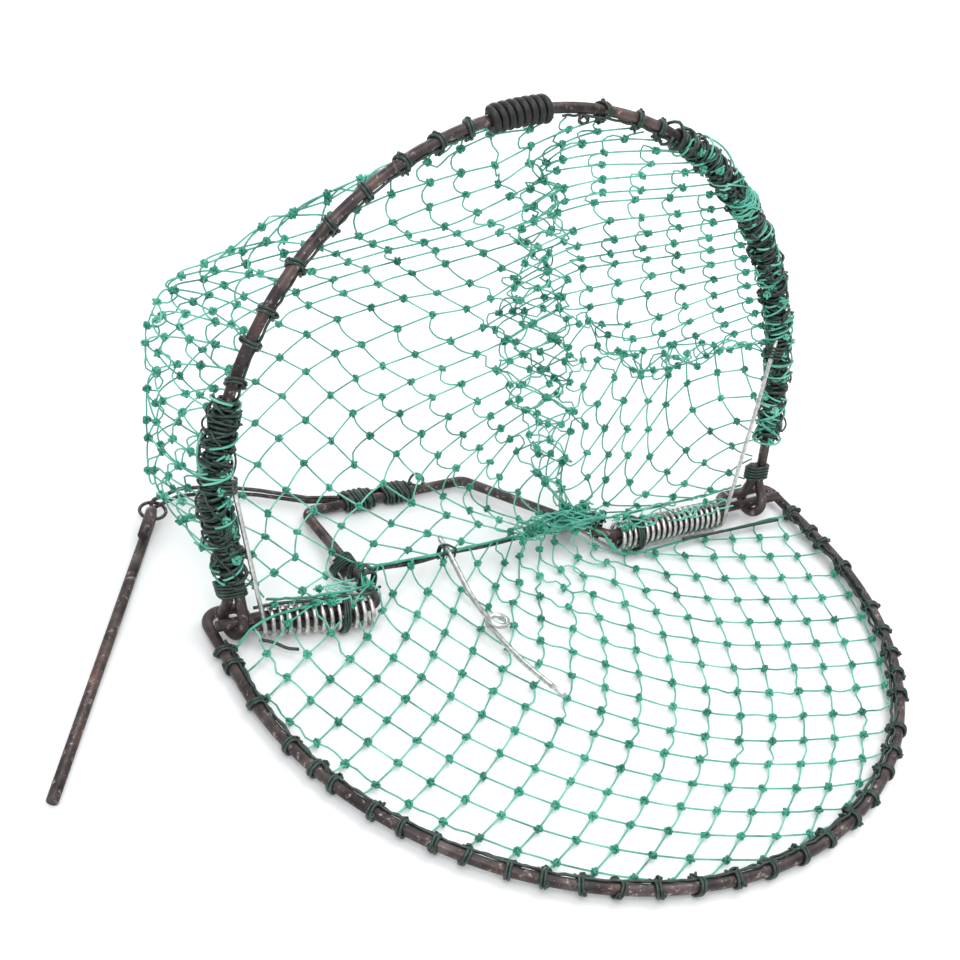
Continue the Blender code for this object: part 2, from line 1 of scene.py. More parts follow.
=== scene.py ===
"""Looks of the folding net trap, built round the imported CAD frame, in metres and at real size.

Every rod, spring and cord is swept again along its CAD route with a rounder, finer section and a procedural
finish. The two nets are cut from square netting and hung by a small seeded solver in numpy: bars of twine
can't stretch but can buckle, and the edge knots are held on the hoops.
"""

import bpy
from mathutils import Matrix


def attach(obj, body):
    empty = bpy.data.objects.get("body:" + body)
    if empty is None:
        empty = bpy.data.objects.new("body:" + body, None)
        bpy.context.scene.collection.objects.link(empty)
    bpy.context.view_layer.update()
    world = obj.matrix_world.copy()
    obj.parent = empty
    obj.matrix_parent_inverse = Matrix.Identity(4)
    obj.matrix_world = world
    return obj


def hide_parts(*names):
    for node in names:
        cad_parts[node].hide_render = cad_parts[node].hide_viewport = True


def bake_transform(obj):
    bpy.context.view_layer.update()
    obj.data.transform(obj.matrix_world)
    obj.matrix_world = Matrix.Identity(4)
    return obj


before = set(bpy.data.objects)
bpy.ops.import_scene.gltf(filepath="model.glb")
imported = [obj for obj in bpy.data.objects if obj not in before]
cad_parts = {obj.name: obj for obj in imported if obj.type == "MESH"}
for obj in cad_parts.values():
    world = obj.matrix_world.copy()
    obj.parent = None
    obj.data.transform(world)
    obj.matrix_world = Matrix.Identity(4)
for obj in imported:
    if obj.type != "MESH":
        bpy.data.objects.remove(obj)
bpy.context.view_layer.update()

import math

import bpy
import numpy as np
from mathutils import Matrix, Vector

MM = 0.001

# Stock
ROD = 3.8 * MM
SPRING_WIRE = 1.6 * MM
NEEDLE_WIRE = 2.0 * MM
CROSS_WIRE = 1.9 * MM
TETHER_WIRE = 1.5 * MM
RING_WIRE = 1.3 * MM
GAP = 0.3 * MM

# Levels above the ground
BASE_Z = 3.95 * MM
COIL_Z = 6.05 * MM
AXLE_Z = 8.15 * MM
REAR_BAR_Z = 3.0 * MM

# Base hoop: a half circle on short sides, whose ends turn in behind the axle and run into the coils
BASE_RADIUS = 126.0 * MM
BASE_SIDE = 23.8 * MM
BASE_OVERSHOOT = 10.5 * MM
BASE_END_RIGHT = 40.0 * MM
BASE_END_LEFT = -73.0 * MM

# Moving hoop, in its own plane: x along the axle, d away from the axle, f towards its front face
HOOP_ANGLE = math.radians(105.0)
HOOP_RADIUS = 119.4 * MM
HOOP_CENTRE_X = -8.0 * MM
HOOP_SIDE = 45.0 * MM
EYE_RIGHT = 110.0 * MM
EYE_LEFT = -117.5 * MM
EYE_RADIUS = 4.15 * MM
EYE_NECK = 9.0 * MM
EYE_PITCH = 4.2 * MM
TAIL_TOP = 17.0 * MM

# Trigger frame: its outward-turned ends are the axle
AXLE_RIGHT = 122.0 * MM
AXLE_LEFT = -125.5 * MM
FRAME_RIGHT = Vector((36.0, 0.0)) * MM
FRAME_REAR_RIGHT = Vector((0.6, 50.7)) * MM
FRAME_REAR_LEFT = Vector((-68.3, 50.5)) * MM
FRAME_LEFT = Vector((-67.4, -7.4)) * MM
AXLE_KINK = Vector((-110.0, 0.0)) * MM

# Springs
COIL_RADIUS = 5.15 * MM
COIL_PITCH = 2.7 * MM
LEFT_COIL = (Vector((-109.3, -0.1)) * MM, Vector((-70.8, -6.8)) * MM)
RIGHT_COIL = (Vector((89.7, 0.0)) * MM, Vector((39.4, 0.0)) * MM)
LEG_FRONT = 3.3 * MM
LEFT_LEG_TOP = Vector((-122.8, 57.0)) * MM
RIGHT_LEG_TOP = Vector((104.5, 71.0)) * MM

# Trigger
CROSS_Y = 7.0 * MM
CROSS_Z = 10.5 * MM
CROSS_ENDS = (-69.6 * MM, 33.5 * MM)
NEEDLE_X = -33.5 * MM
NEEDLE_LOOP_RADIUS = 3.4 * MM
NEEDLE_LOOP_Y = -26.0 * MM
NEEDLE_LOOP_Z = 5.0 * MM
NEEDLE_LOOP_RISE = 2.5 * MM

# Lever, its ring and its tether
LEVER_TOP = Vector((-124.5, 61.0)) * MM
LEVER_TIP = Vector((-196.5, -46.5)) * MM
LEVER_Z = 1.95 * MM
LEVER_EYE_RADIUS = 2.8 * MM
LEVER_TAIL = 12.0 * MM
RING_RADIUS = 4.6 * MM
TETHER_BEND = 2.0 * MM
TETHER_Y = 53.7 * MM

# Cords
LACING = 1.0 * MM
BASE_LACING_TURNS = 18
WRAP = 1.6 * MM
SLEEVE_CORD = 2.75 * MM
SLEEVE_TURNS = 7
SLEEVE_FROM = math.radians(102.0)
SLEEVE_TO = math.radians(91.5)

# Nets
NET_THICKNESS = 1.6 * MM
NET_MARGIN = 6.2 * MM
BAG_DEPTH = 52.0 * MM

# Hoop wraps seen in the photograph, as degrees round each hoop from its +X side
BASE_HITCHES = (
    1.2, 8.4, 18.5, 24.4, 29.9, 35.1, 40.1, 48.6, 54.0, 59.1, 66.4, 72.5, 78.8, 85.0, 91.3, 97.2, 103.4, 109.5,
    115.2, 120.6, 125.9, 130.8, 136.9, 141.3, 146.4, 151.1, 158.0, 161.7, 167.0, 176.2,
)
BASE_SIDE_HITCHES = ((-1, -7.4), (-1, -14.9), (1, -7.5), (1, -19.8))
HOOP_HITCHES = (67.7, 72.7, 80.4, 105.8, 111.5, 118.0, 125.2, 132.5, 140.5, 148.5, 153.7, 160.1)

# Twine and cord
TWINE = 0.66 * MM
MESH = 12.2 * MM
KNOT_SIZE = 1.3 * MM
HITCH_CORD = 1.15 * MM
WINDING_WOBBLE = 0.2 * MM
WINDING_LAYERS = (
    (1.6 * MM, 2.1 * MM, 0.0, 0.0, 1),
    (1.4 * MM, 3.6 * MM, 1.0 * MM, 1.3, -1),
    (1.25 * MM, 5.5 * MM, 1.9 * MM, 2.6, 1),
)
TANGLE_LOW, TANGLE_HIGH = 4.0 * MM, 7.6 * MM
TANGLE_REACH = 5 * MM
TANGLE_POINTS = 9
COIL_TIE_SHARES = {"left": 0.27, "right": 0.17}
COIL_TIE_TURNS = 3
COIL_TIE_WIDTH = 2.6 * MM
STRAY_CORDS = (
    ((-112, -5.5, 3.2), (-108, -8.5, 3.4), (-104.5, -11.5, 2.6), (-101, -13.5, 2.8)),
    ((-113, 0, 13), (-104, -0.4, 12.9), (-94, -2.4, 13), (-82, -3.8, 13), (-72, -5.8, 13.1), (-66.5, -3, 12.4)),
    ((68, -7.6, 4.6), (80, -7.2, 3.4), (92, -7.5, 3.2), (104, -8.2, 3.6), (116, -9.5, 4.4)),
)

# Net solver
LATTICE_SHIFT = np.array([0.3, 0.4])
SHORTEST_BAR = 3 * MM
BAR_PARTS = 3
BAR_WOBBLE = 0.5 * MM
LIGHT_POINT = 2.0
STIFFNESS = 0.8
DAMPING = 0.94
EASE_STEPS = 60
SWEEPS = 6
TINY = 1e-9
AXLE = np.array([0.0, 0.0, AXLE_Z])
AWAY = np.array([0.0, -math.cos(HOOP_ANGLE), math.sin(HOOP_ANGLE)])
BACK = np.array([0.0, math.sin(HOOP_ANGLE), math.cos(HOOP_ANGLE)])

rng = np.random.default_rng(11)

# Bag: its seam along the axle, its cut, and how much fullness each stretch of seam takes up from its mark on
SEAM_INSET = 3.4 * MM
BAG_SEAM_ON_AXLE = (
    (-108, 1, 14.5), (-90, -1.5, 13.5), (-72, -2, 13.5), (-66, 6.3, 12.4), (-40, 6.3, 12.2), (-10, 6.3, 12.2),
    (6, 6.3, 12.2), (20, 6.3, 12.2), (33, 5.5, 12.4), (42, 5, 12.5), (66, 5.5, 12.0), (90, 5.5, 12.5), (103, 4, 15),
)
BAG_WIDE = 1.62
BAG_TALL = 1.32
BAG_TILT = 0.35
BAG_TURN = math.radians(-50)
BAG_STEPS = 280
BAG_UNEVEN = 0.07
BAG_PULL = (0.2 * BACK + np.array([-0.05, 0, -0.1])) * 0.06 * MM
BULGE_FROM = -35 * MM
BULGE_EASE = 12 * MM
BULGE_PULL = 0.06 * MM
BULGE_WAY = BACK + np.array([-0.4, 0, 0.1])
BAG_DEEPEST_ACROSS = np.array([(-125, 50), (-70, 50), (-20, 36), (30, 24), (110, 14)]) * MM
BAG_DEEPEST_UP = np.array([(0, 40), (30, 54), (82, 54), (105, 36), (125, 14), (150, 7), (170, 5)]) * MM
GROUND = 2.0 * MM
BAG_LEFTMOST = -129 * MM
BAG_START_DEPTH = 15 * MM
PLEAT = ((-14, 150), (0, 120), (8, 90), (15, 55), (24, 12))
PLEAT_WIDTHS = ((12, 12), (40, 24), (70, 36), (100, 32), (150, 24))
PLEAT_HOLD = 0.1
SWAG = ((30, 84), (40, 66), (58, 58), (85, 64), (106, 84))
SWAG_WIDTH = 11 * MM
SWAG_HOLD = 0.06
HOOP_TOP = 165 * MM
PLEAT_LIFT = 4 * MM

# Floor net
FLOOR_SEAM_ON_AXLE = (
    (-122, -8, 5), (-112, -5, 11), (-90, -3.5, 12.6), (-74, -4, 12.6), (-66, 6.3, 12.4), (-40, 6.3, 12.2),
    (-10, 6.3, 12.2), (20, 6.3, 12.2), (33, 1, 9), (40, -7, 3.6), (66, -7.2, 3.2), (90, -7.2, 3.2), (121, -8, 3.9),
)
FLOOR_EASE = 1.02
FLOOR_SLACK = 10 * MM
# The stretched net's two ways: the heading (degrees) of each, at marks (mm) along it from the left corner
FLOOR_CORNER = np.array([-112, -38]) * MM
FLOOR_ROWS = ((-70, -80), (-20, -76), (30, -65), (80, -46), (130, -26), (180, -10), (230, -2), (330, 8))
FLOOR_COLUMNS = ((-60, 12), (-20, 12), (33, 34), (87, 58), (140, 72), (193, 76), (300, 82))
FLOOR_STEPS = 160
CORRECTIONS = 40
CORRECTION = 0.7
FLOOR_PULL = np.array([0, 0, -0.02 * MM])
BUNCH_X = 12 * MM
BUNCH_WIDTH = 40 * MM
BUNCH_GATHER = 0.9
BUNCH_REACH = 30 * MM


# Loose twine along the axle: from x to x, its middle (y, z), how far it spreads (y, z), and how many lengths
STREWN_POINTS = 9
STREWN_WANDER = 0.32
STREWN = (
    ((-8, 34), (7.5, 13.8), (4.5, 2.4), 44),
    ((36, 92), (0, 13.2), (5.0, 0.7), 13),
    ((-108, -74), (-3.0, 13.0), (5.0, 0.6), 9),
)
# Camera and light
CAMERA_PLACE = (-0.315529, -0.339034, 0.377001)
CAMERA_ROWS = (
    (0.840634, -0.499981, 0.208215),
    (-0.168977, -0.607368, -0.776241),
    (0.514569, 0.617352, -0.59506),
)
CAMERA_LENS = 60.0
WORLD_STRENGTH = 0.85
LIGHTS_AIM = (0.0, 0.0, 0.05)
LIGHTS = (
    ("key", (-0.5, -0.5, 1.1), 0.7, 7.0),
    ("top", (0.5, 0.1, 1.2), 0.9, 6.0),
    ("back", (0.2, 1.1, 0.6), 0.6, 4.0),
)


def at_height(point, z):
    return Vector((point[0], point[1], z))


def rounded(corners, radii, step=math.radians(7.5)):
    """The corner points joined by straight runs, with each inner corner turned at its own radius."""
    path = [corners[0].copy()]
    for before, corner, after, radius in zip(corners, corners[1:], corners[2:], radii):
        back = (before - corner).normalized()
        ahead = (after - corner).normalized()
        inside = back.angle(ahead)
        centre = corner + (back + ahead).normalized() * radius / math.sin(inside / 2)
        start = corner + back * radius / math.tan(inside / 2) - centre
        side = -back * radius
        turn = math.pi - inside
        count = max(2, math.ceil(turn / step))
        path += [
            centre + start * math.cos(turn * k / count) + side * math.sin(turn * k / count)
            for k in range(count + 1)
        ]
    path.append(corners[-1].copy())
    return path


def half_circle(centre, radius, z, segments=90):
    """Points of a half circle from the +X side round through -Y to the -X side."""
    return [
        Vector(
            (
                centre[0] + radius * math.cos(math.pi * k / segments),
                centre[1] - radius * math.sin(math.pi * k / segments),
                z,
            )
        )
        for k in range(segments + 1)
    ]


def base_hoop_path():
    right = rounded(
        [
            Vector((BASE_END_RIGHT, 0, BASE_Z)),
            Vector((95 * MM, 0, BASE_Z)),
            Vector((101 * MM, BASE_OVERSHOOT, BASE_Z)),
            Vector((BASE_RADIUS, BASE_OVERSHOOT, BASE_Z)),
            Vector((BASE_RADIUS, -BASE_SIDE, BASE_Z)),
        ],
        [4 * MM, 4 * MM, 6 * MM],
    )
    coil_from, coil_to = LEFT_COIL
    along = (coil_to - coil_from).normalized()
    stub_end = coil_from + along * (BASE_END_LEFT - coil_from.x) / along.x
    left = rounded(
        [
            at_height(stub_end, BASE_Z),
            at_height(coil_from - along * 2.9 * MM, BASE_Z),
            Vector((-112.2 * MM, BASE_OVERSHOOT, BASE_Z)),
            Vector((-BASE_RADIUS, BASE_OVERSHOOT, BASE_Z)),
            Vector((-BASE_RADIUS, -BASE_SIDE, BASE_Z)),
        ],
        [2.8 * MM, 3.2 * MM, 6 * MM],
    )
    arc = half_circle((0, -BASE_SIDE), BASE_RADIUS, BASE_Z)
    return right[:-1] + arc + left[-2::-1]


def hoop_arc(segments=90):
    """The moving hoop's half circle in its own plane, from the right side over the top to the left."""
    return [hoop_point(math.pi * k / segments) for k in range(segments + 1)]


def hoop_point(angle, out=0.0, front=0.0):
    """A point at an angle on the moving hoop's arc, moved outwards and towards the front face."""
    reach = HOOP_RADIUS + out
    return Vector(
        (HOOP_CENTRE_X + reach * math.cos(angle), HOOP_SIDE + reach * math.sin(angle), front)
    )


def hoop_side(sign, distance):
    """A point on the straight lower part of a moving hoop's side, at a distance from the axle."""
    foot = EYE_RIGHT if sign > 0 else EYE_LEFT
    top = HOOP_CENTRE_X + sign * HOOP_RADIUS
    share = max(0.0, (distance - EYE_NECK) / (HOOP_SIDE - EYE_NECK))
    return Vector((foot + (top - foot) * share, distance, 0))


def eye_path(sign, tail_sign):
    """From the moving hoop's side down round the axle and back up as the doubled tail."""
    side_x = EYE_RIGHT if sign > 0 else EYE_LEFT
    meet = math.acos(EYE_RADIUS / EYE_NECK)
    count = 24
    loop = []
    for k in range(count + 1):
        share = k / count
        angle = meet + share * (2 * math.pi - 2 * meet)
        loop.append(
            Vector(
                (
                    side_x + tail_sign * EYE_PITCH * share,
                    EYE_RADIUS * math.cos(angle),
                    EYE_RADIUS * math.sin(angle),
                )
            )
        )
    neck = Vector((side_x, EYE_NECK, 0))
    tail_foot = Vector((side_x + tail_sign * EYE_PITCH, EYE_NECK, 0))
    tail_top = hoop_side(sign, TAIL_TOP) + Vector((tail_sign * EYE_PITCH, 0, 0))
    return [neck] + loop + [tail_foot, tail_top]


def moving_hoop_path():
    right = eye_path(1, -1)
    left = eye_path(-1, -1)
    return right[::-1] + hoop_arc() + left


def trigger_frame_path():
    corners = [
        Vector((AXLE_LEFT, 0, AXLE_Z)),
        at_height(AXLE_KINK, AXLE_Z),
        at_height(FRAME_LEFT, AXLE_Z),
        at_height(FRAME_REAR_LEFT, REAR_BAR_Z),
        at_height(FRAME_REAR_RIGHT, REAR_BAR_Z),
        at_height(FRAME_RIGHT, AXLE_Z),
        Vector((AXLE_RIGHT, 0, AXLE_Z)),
    ]
    return rounded(corners, [8 * MM, 4.5 * MM, 4 * MM, 5 * MM, 5 * MM])


def frame_height(y, side):
    """Height of the trigger frame's centre line at a distance behind the axle."""
    front, rear = (FRAME_LEFT, FRAME_REAR_LEFT) if side < 0 else (FRAME_RIGHT, FRAME_REAR_RIGHT)
    return AXLE_Z + (REAR_BAR_Z - AXLE_Z) * (y - front.y) / (rear.y - front.y)


def frame_side_x(y, side):
    front, rear = (FRAME_LEFT, FRAME_REAR_LEFT) if side < 0 else (FRAME_RIGHT, FRAME_REAR_RIGHT)
    return front.x + (rear.x - front.x) * (y - front.y) / (rear.y - front.y)


def hoop_to_world(point):
    """From the moving hoop's own coordinates to the trap's."""
    away = Vector((0, -math.cos(HOOP_ANGLE), math.sin(HOOP_ANGLE)))
    front = Vector((0, -math.sin(HOOP_ANGLE), -math.cos(HOOP_ANGLE)))
    return Vector((point[0], 0, AXLE_Z)) + away * point[1] + front * point[2]


def spring_path(coil, leg_top, inner_leg_end, points_per_turn=20):
    """A torsion spring: leg along the moving hoop, coil round the axle, leg under the trigger frame."""
    outer, inner = coil
    along = inner - outer
    turns = round(along.length / COIL_PITCH)
    level = Vector((-along.y, along.x)).normalized()
    if level.y < 0:
        level = -level
    start = math.pi - (HOOP_ANGLE - math.pi / 2)
    end = -math.pi / 2
    sweep = turns * 2 * math.pi + end - start
    steps = round(sweep / (2 * math.pi) * points_per_turn)
    path = [hoop_to_world(Vector((leg_top.x, leg_top.y, LEG_FRONT)))]
    for k in range(steps + 1):
        share = k / steps
        angle = start + sweep * share
        centre = outer + along * share
        flat = centre + level * COIL_RADIUS * math.cos(angle)
        path.append(Vector((flat.x, flat.y, COIL_Z + COIL_RADIUS * math.sin(angle))))
    path.append(inner_leg_end)
    return path


def needle_path():
    """Rear hook, bow over the cross wire, flat catch loop, and a rising front tip."""
    loop_centre = Vector((NEEDLE_X + NEEDLE_LOOP_RADIUS, NEEDLE_LOOP_Y))
    path = [
        Vector((NEEDLE_X + 1.5 * MM, 14.5 * MM, 11.6 * MM)),
        Vector((NEEDLE_X, 12.0 * MM, 12.7 * MM)),
        Vector((NEEDLE_X, CROSS_Y, CROSS_Z + (CROSS_WIRE + NEEDLE_WIRE) / 2 + GAP)),
    ]
    drop_from = path[-1]
    drop_to = Vector((NEEDLE_X, NEEDLE_LOOP_Y, NEEDLE_LOOP_Z + NEEDLE_LOOP_RISE))
    for k in range(1, 8):
        share = k / 8
        point = drop_from.lerp(drop_to, share)
        point.z -= 3.2 * MM * math.sin(math.pi * share) * (0.35 + share * 0.65)
        path.append(point)
    count = 28
    for k in range(count + 1):
        angle = math.pi + 2 * math.pi * k / count
        path.append(
            Vector(
                (
                    loop_centre.x + NEEDLE_LOOP_RADIUS * math.cos(angle),
                    loop_centre.y + NEEDLE_LOOP_RADIUS * math.sin(angle),
                    NEEDLE_LOOP_Z + NEEDLE_LOOP_RISE * (1 - k / count),
                )
            )
        )
    tip = Vector((NEEDLE_X, -71.0 * MM, 14.8 * MM))
    loop_end = path[-1]
    for k in range(1, 7):
        share = k / 6
        point = loop_end.lerp(tip, share)
        point.z -= 1.6 * MM * math.sin(math.pi * share)
        path.append(point)
    return path


def lever_heading():
    return at_height((LEVER_TOP - LEVER_TIP).normalized(), 0)


def ring_centre():
    """The ring lies level, with its near side inside the lever's eye."""
    return at_height(LEVER_TOP, LEVER_Z + LEVER_EYE_RADIUS) + lever_heading() * RING_RADIUS


def lever_path():
    """Straight from the cut tip to the top, where the rod turns over itself into an eye."""
    along = (LEVER_TOP - LEVER_TIP).normalized()
    path = [at_height(LEVER_TIP, LEVER_Z), at_height(LEVER_TOP, LEVER_Z)]
    count = 18
    for k in range(1, count + 1):
        angle = math.pi * k / count
        spot = LEVER_TOP + along * LEVER_EYE_RADIUS * math.sin(angle)
        rise = LEVER_Z + LEVER_EYE_RADIUS * (1 - math.cos(angle))
        path.append(at_height(spot, rise))
    end = LEVER_TOP - along * LEVER_TAIL
    path.append(at_height(end, LEVER_Z + 2 * LEVER_EYE_RADIUS - 0.9 * MM))
    return path


def tether_path():
    """One wire out along the ground, round the ring's far side, and back on top of itself."""
    route = [
        (-21.0, TETHER_Y / MM, 2.1, 3.9),
        (-52.0, TETHER_Y / MM, 2.1, 3.9),
        (-64.0, 57.0, 1.9, 3.8),
        (-80.0, 66.0, 1.7, 3.9),
        (-95.0, 71.8, 1.8, 4.6),
        (-109.0, 72.4, 2.5, 6.0),
    ]
    out = [Vector((x, y, low)) * MM for x, y, low, _ in route]
    back = [Vector((x, y, high)) * MM for x, y, _, high in route]
    centre = ring_centre() + lever_heading() * RING_RADIUS
    heading = (centre - out[-1].lerp(back[-1], 0.5)).normalized()
    count = 18
    bend = [
        centre
        + heading * TETHER_BEND * math.sin(math.pi * k / count)
        - Vector((0, 0, TETHER_BEND * math.cos(math.pi * k / count)))
        for k in range(count + 1)
    ]
    return out + bend + back[::-1]


def ring_path(centre, radius, count=40):
    return [
        centre
        + Vector(
            (
                radius * math.cos(2 * math.pi * k / count),
                radius * math.sin(2 * math.pi * k / count),
                0,
            )
        )
        for k in range(count)
    ]


def squarish(angle):
    """A point on a circle drawn out towards a square, so that a loop clears two bars side by side."""
    flat, high = math.cos(angle), math.sin(angle)
    return math.copysign(abs(flat) ** 0.65, flat), math.copysign(abs(high) ** 0.65, high)


def lashing_path(start, end, across, up, half_across, half_up, turns, points_per_turn=20):
    """Turns of cord from start to end round two bars, with half widths across and up."""
    steps = round(turns * points_per_turn)
    path = []
    for k in range(steps + 1):
        share = k / steps
        flat, high = squarish(math.pi / points_per_turn + 2 * math.pi * turns * share)
        path.append(start.lerp(end, share) + across * half_across * flat + up * half_up * high)
    return path


def crossing_path(centre, axis, across, up, half_across, half_up, reach, drift, points_per_turn=20):
    """Two loops, one on each side of a crossing wire, joined over the top."""
    steps = 2 * points_per_turn
    path = []
    for k in range(steps + 1):
        turn = 4 * math.pi * k / steps
        flat, high = squarish(turn - math.pi / 2)
        over = min(1.0, max(0.0, (turn - (2 * math.pi + 2.2)) / 1.9))
        slide = -reach + 2 * reach * over + drift * (turn / (2 * math.pi) - 1)
        path.append(
            centre
            + axis * slide
            + across * half_across * flat
            + up * half_up * high
        )
    return path


def hoop_spiral(angle_from, angle_to, reach, turns, points_per_turn=16):
    """A cord that winds round the moving hoop's arc between two angles."""
    steps = round(turns * points_per_turn)
    path = []
    for k in range(steps + 1):
        share = k / steps
        turn = 2 * math.pi * turns * share
        angle = angle_from + (angle_to - angle_from) * share
        path.append(hoop_point(angle, reach * math.cos(turn), reach * math.sin(turn)))
    return path


def edge_cord_path():
    """The net's edge cord, just inside the base hoop's lacing."""
    inset = ROD / 2 + GAP + LACING + GAP + 0.9 * MM
    start, end = math.radians(6), math.radians(174)
    count = 40
    return [
        Vector(
            (
                (BASE_RADIUS - inset) * math.cos(start + (end - start) * k / count),
                -BASE_SIDE - (BASE_RADIUS - inset) * math.sin(start + (end - start) * k / count),
                BASE_Z,
            )
        )
        for k in range(count + 1)
    ]


def vector_array(points):
    return np.array([tuple(point) for point in points], float)


def strands(paths, radius, sides=8, loop=False):
    """Round tubes along paths that have the same number of points each, as vertices and faces."""
    paths = np.asarray(paths, float)
    count, length = paths.shape[:2]
    if loop:
        ahead = np.roll(paths, -1, 1) - np.roll(paths, 1, 1)
    else:
        ahead = np.gradient(paths, axis=1)
    ahead /= np.linalg.norm(ahead, axis=2, keepdims=True) + TINY
    across = np.cross(ahead[:, 0], (0.0, 0.0, 1.0))
    steep = np.linalg.norm(across, axis=1) < 0.2
    across[steep] = np.cross(ahead[steep, 0], (1.0, 0.0, 0.0))
    reach = np.broadcast_to(radius, (count, length))[:, :, None, None]
    turn = np.arange(sides) * 2 * math.pi / sides
    cosine, sine = np.cos(turn)[:, None], np.sin(turn)[:, None]
    rings = np.empty((count, length, sides, 3))
    for k in range(length):
        across = across - (across * ahead[:, k]).sum(1, keepdims=True) * ahead[:, k]
        across /= np.linalg.norm(across, axis=1, keepdims=True) + TINY
        over = np.cross(ahead[:, k], across)
        ring = cosine * across[:, None] + sine * over[:, None]
        rings[:, k] = paths[:, k, None] + reach[:, k] * ring
    index = np.arange(count * length * sides).reshape(count, length, sides)
    here, there = (index, np.roll(index, -1, 1)) if loop else (index[:, :-1], index[:, 1:])
    quads = np.stack([here, np.roll(here, -1, 2), np.roll(there, -1, 2), there], -1).reshape(-1, 4)
    caps = [] if loop else np.concatenate([index[:, 0, ::-1], index[:, -1]]).tolist()
    return rings.reshape(-1, 3), quads.tolist() + caps


def tube(points, diameter, sides=12, loop=False):
    return strands(vector_array(points)[None], diameter / 2, sides, loop)


def softened(paths, parts=2):
    """Each path with points added between its own on a smooth curve."""
    paths = np.asarray(paths, float)
    first, last = 2 * paths[:, :1] - paths[:, 1:2], 2 * paths[:, -1:] - paths[:, -2:-1]
    padded = np.concatenate([first, paths, last], 1)
    before, here, there, after = padded[:, :-3], padded[:, 1:-2], padded[:, 2:-1], padded[:, 3:]
    between = []
    for k in range(parts):
        t = k / parts
        between.append(
            0.5
            * (
                2 * here
                + (there - before) * t
                + (2 * before - 5 * here + 4 * there - after) * t**2
                + (3 * here - before - 3 * there + after) * t**3
            )
        )
    mixed = np.stack(between, 2).reshape(len(paths), -1, 3)
    return np.concatenate([mixed, paths[:, -1:]], 1)


def piece(name, parts, finishes, body, stands_for=()):
    """One mesh object from (vertices, faces) parts, each with its own finish, riding on a CAD body."""
    vertices, faces, indices, start = [], [], [], 0
    for (points, polygons), finish in zip(parts, finishes):
        vertices.append(points)
        faces += [[v + start for v in face] for face in polygons]
        indices += [finish] * len(polygons)
        start += len(points)
    used = list(dict.fromkeys(indices))
    mesh = bpy.data.meshes.new(name)
    mesh.from_pydata(np.concatenate(vertices).tolist(), [], faces)
    for finish in used:
        mesh.materials.append(finish)
    mesh.polygons.foreach_set("material_index", [used.index(finish) for finish in indices])
    mesh.polygons.foreach_set("use_smooth", [len(face) == 4 for face in faces])
    mesh.update()
    made = bpy.data.objects.new(name, mesh)
    bpy.context.scene.collection.objects.link(made)
    if body:
        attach(made, body)
    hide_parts(*stands_for)
    return made


class Bar:
    """A bar's centre line, with the way in towards the hoop's middle and the normal of its face."""

    def __init__(self, points, middle, normal):
        self.points = vector_array(points)
        steps = np.linalg.norm(np.diff(self.points, axis=0), axis=1)
        self.lengths = np.concatenate([[0], np.cumsum(steps)])
        self.middle = np.array(middle)
        self.normal = np.array(normal)

    def spot(self, distance):
        return np.stack([np.interp(distance, self.lengths, self.points[:, k]) for k in range(3)], -1)

    def nearest(self, target):
        distances = np.linspace(0, self.lengths[-1], 4000)
        return distances[np.argmin(((self.spot(distances) - np.array(target)) ** 2).sum(1))]

    def frame(self, distance):
        """The spot, heading, inward way and normal at a distance along the bar."""
        spot = self.spot(distance)
        ahead = self.spot(distance + 0.5 * MM) - self.spot(distance - 0.5 * MM)
        ahead /= np.linalg.norm(ahead) + TINY
        inward = np.cross(self.normal, ahead)
        inward /= np.linalg.norm(inward) + TINY
        if inward @ (self.middle - spot) < 0:
            inward = -inward
        return spot, ahead, inward, self.normal


def round_bar(bar, start, end, turns, reach, begin=0.0, wobble=0.0, per_turn=14):
    """A cord wound round a bar from one distance to another, with an uneven lay."""
    steps = max(2, round(abs(turns) * per_turn))
    lay = np.cumsum(rng.normal(0, wobble, steps + 1)) * 0.35
    path = []
    for k in range(steps + 1):
        share = k / steps
        angle = begin + 2 * math.pi * turns * share
        spot, _, inward, normal = bar.frame(start + (end - start) * share + lay[k])
        lift = reach + abs(rng.normal(0, wobble * 0.3))
        path.append(spot + (inward * math.cos(angle) + normal * math.sin(angle)) * lift)
    return path


def tangle(bar, start, end, count):
    """Short lengths of twine lying every way over a winding."""
    paths = []
    for _ in range(count):
        distance, along = rng.uniform(start, end), rng.normal(0, TANGLE_REACH)
        begin, sweep = rng.uniform(-math.pi, math.pi), rng.choice((-1, 1)) * rng.uniform(0.7, 2.9)
        lift, bow = rng.uniform(TANGLE_LOW, TANGLE_HIGH), rng.uniform(-0.4, 1.3) * MM
        path = []
        for share in np.linspace(0, 1, TANGLE_POINTS):
            spot, _, inward, normal = bar.frame(min(max(distance + along * share, start), end))
            angle = begin + sweep * share
            reach = ROD / 2 + lift * 0.5 + bow * math.sin(math.pi * share)
            path.append(spot + (inward * math.cos(angle) + normal * math.sin(angle)) * reach)
        paths.append(path)
    return strands(paths, TWINE * 0.6, 5)


def hitch(bar, distance, cord, slant):
    """Two turns side by side round a bar, drawn aslant over the top, with both ends on the inner side."""
    reach = ROD / 2 + cord * 0.5
    steps = 34
    path = []
    spread = cord * 1.06
    for k in range(steps + 1):
        share = k / steps
        angle = -0.5 + (4 * math.pi + 1.0) * share
        drift = (share * 2 - 1) * spread + slant * math.sin(angle)
        spot, _, inward, normal = bar.frame(distance + drift)
        path.append(spot + (inward * math.cos(angle) + normal * math.sin(angle)) * reach)
    tip, ahead, inward, normal = bar.frame(distance + spread * 1.4)
    path.append(tip + inward * (reach + cord * 1.4) - normal * cord * 0.3)
    return path


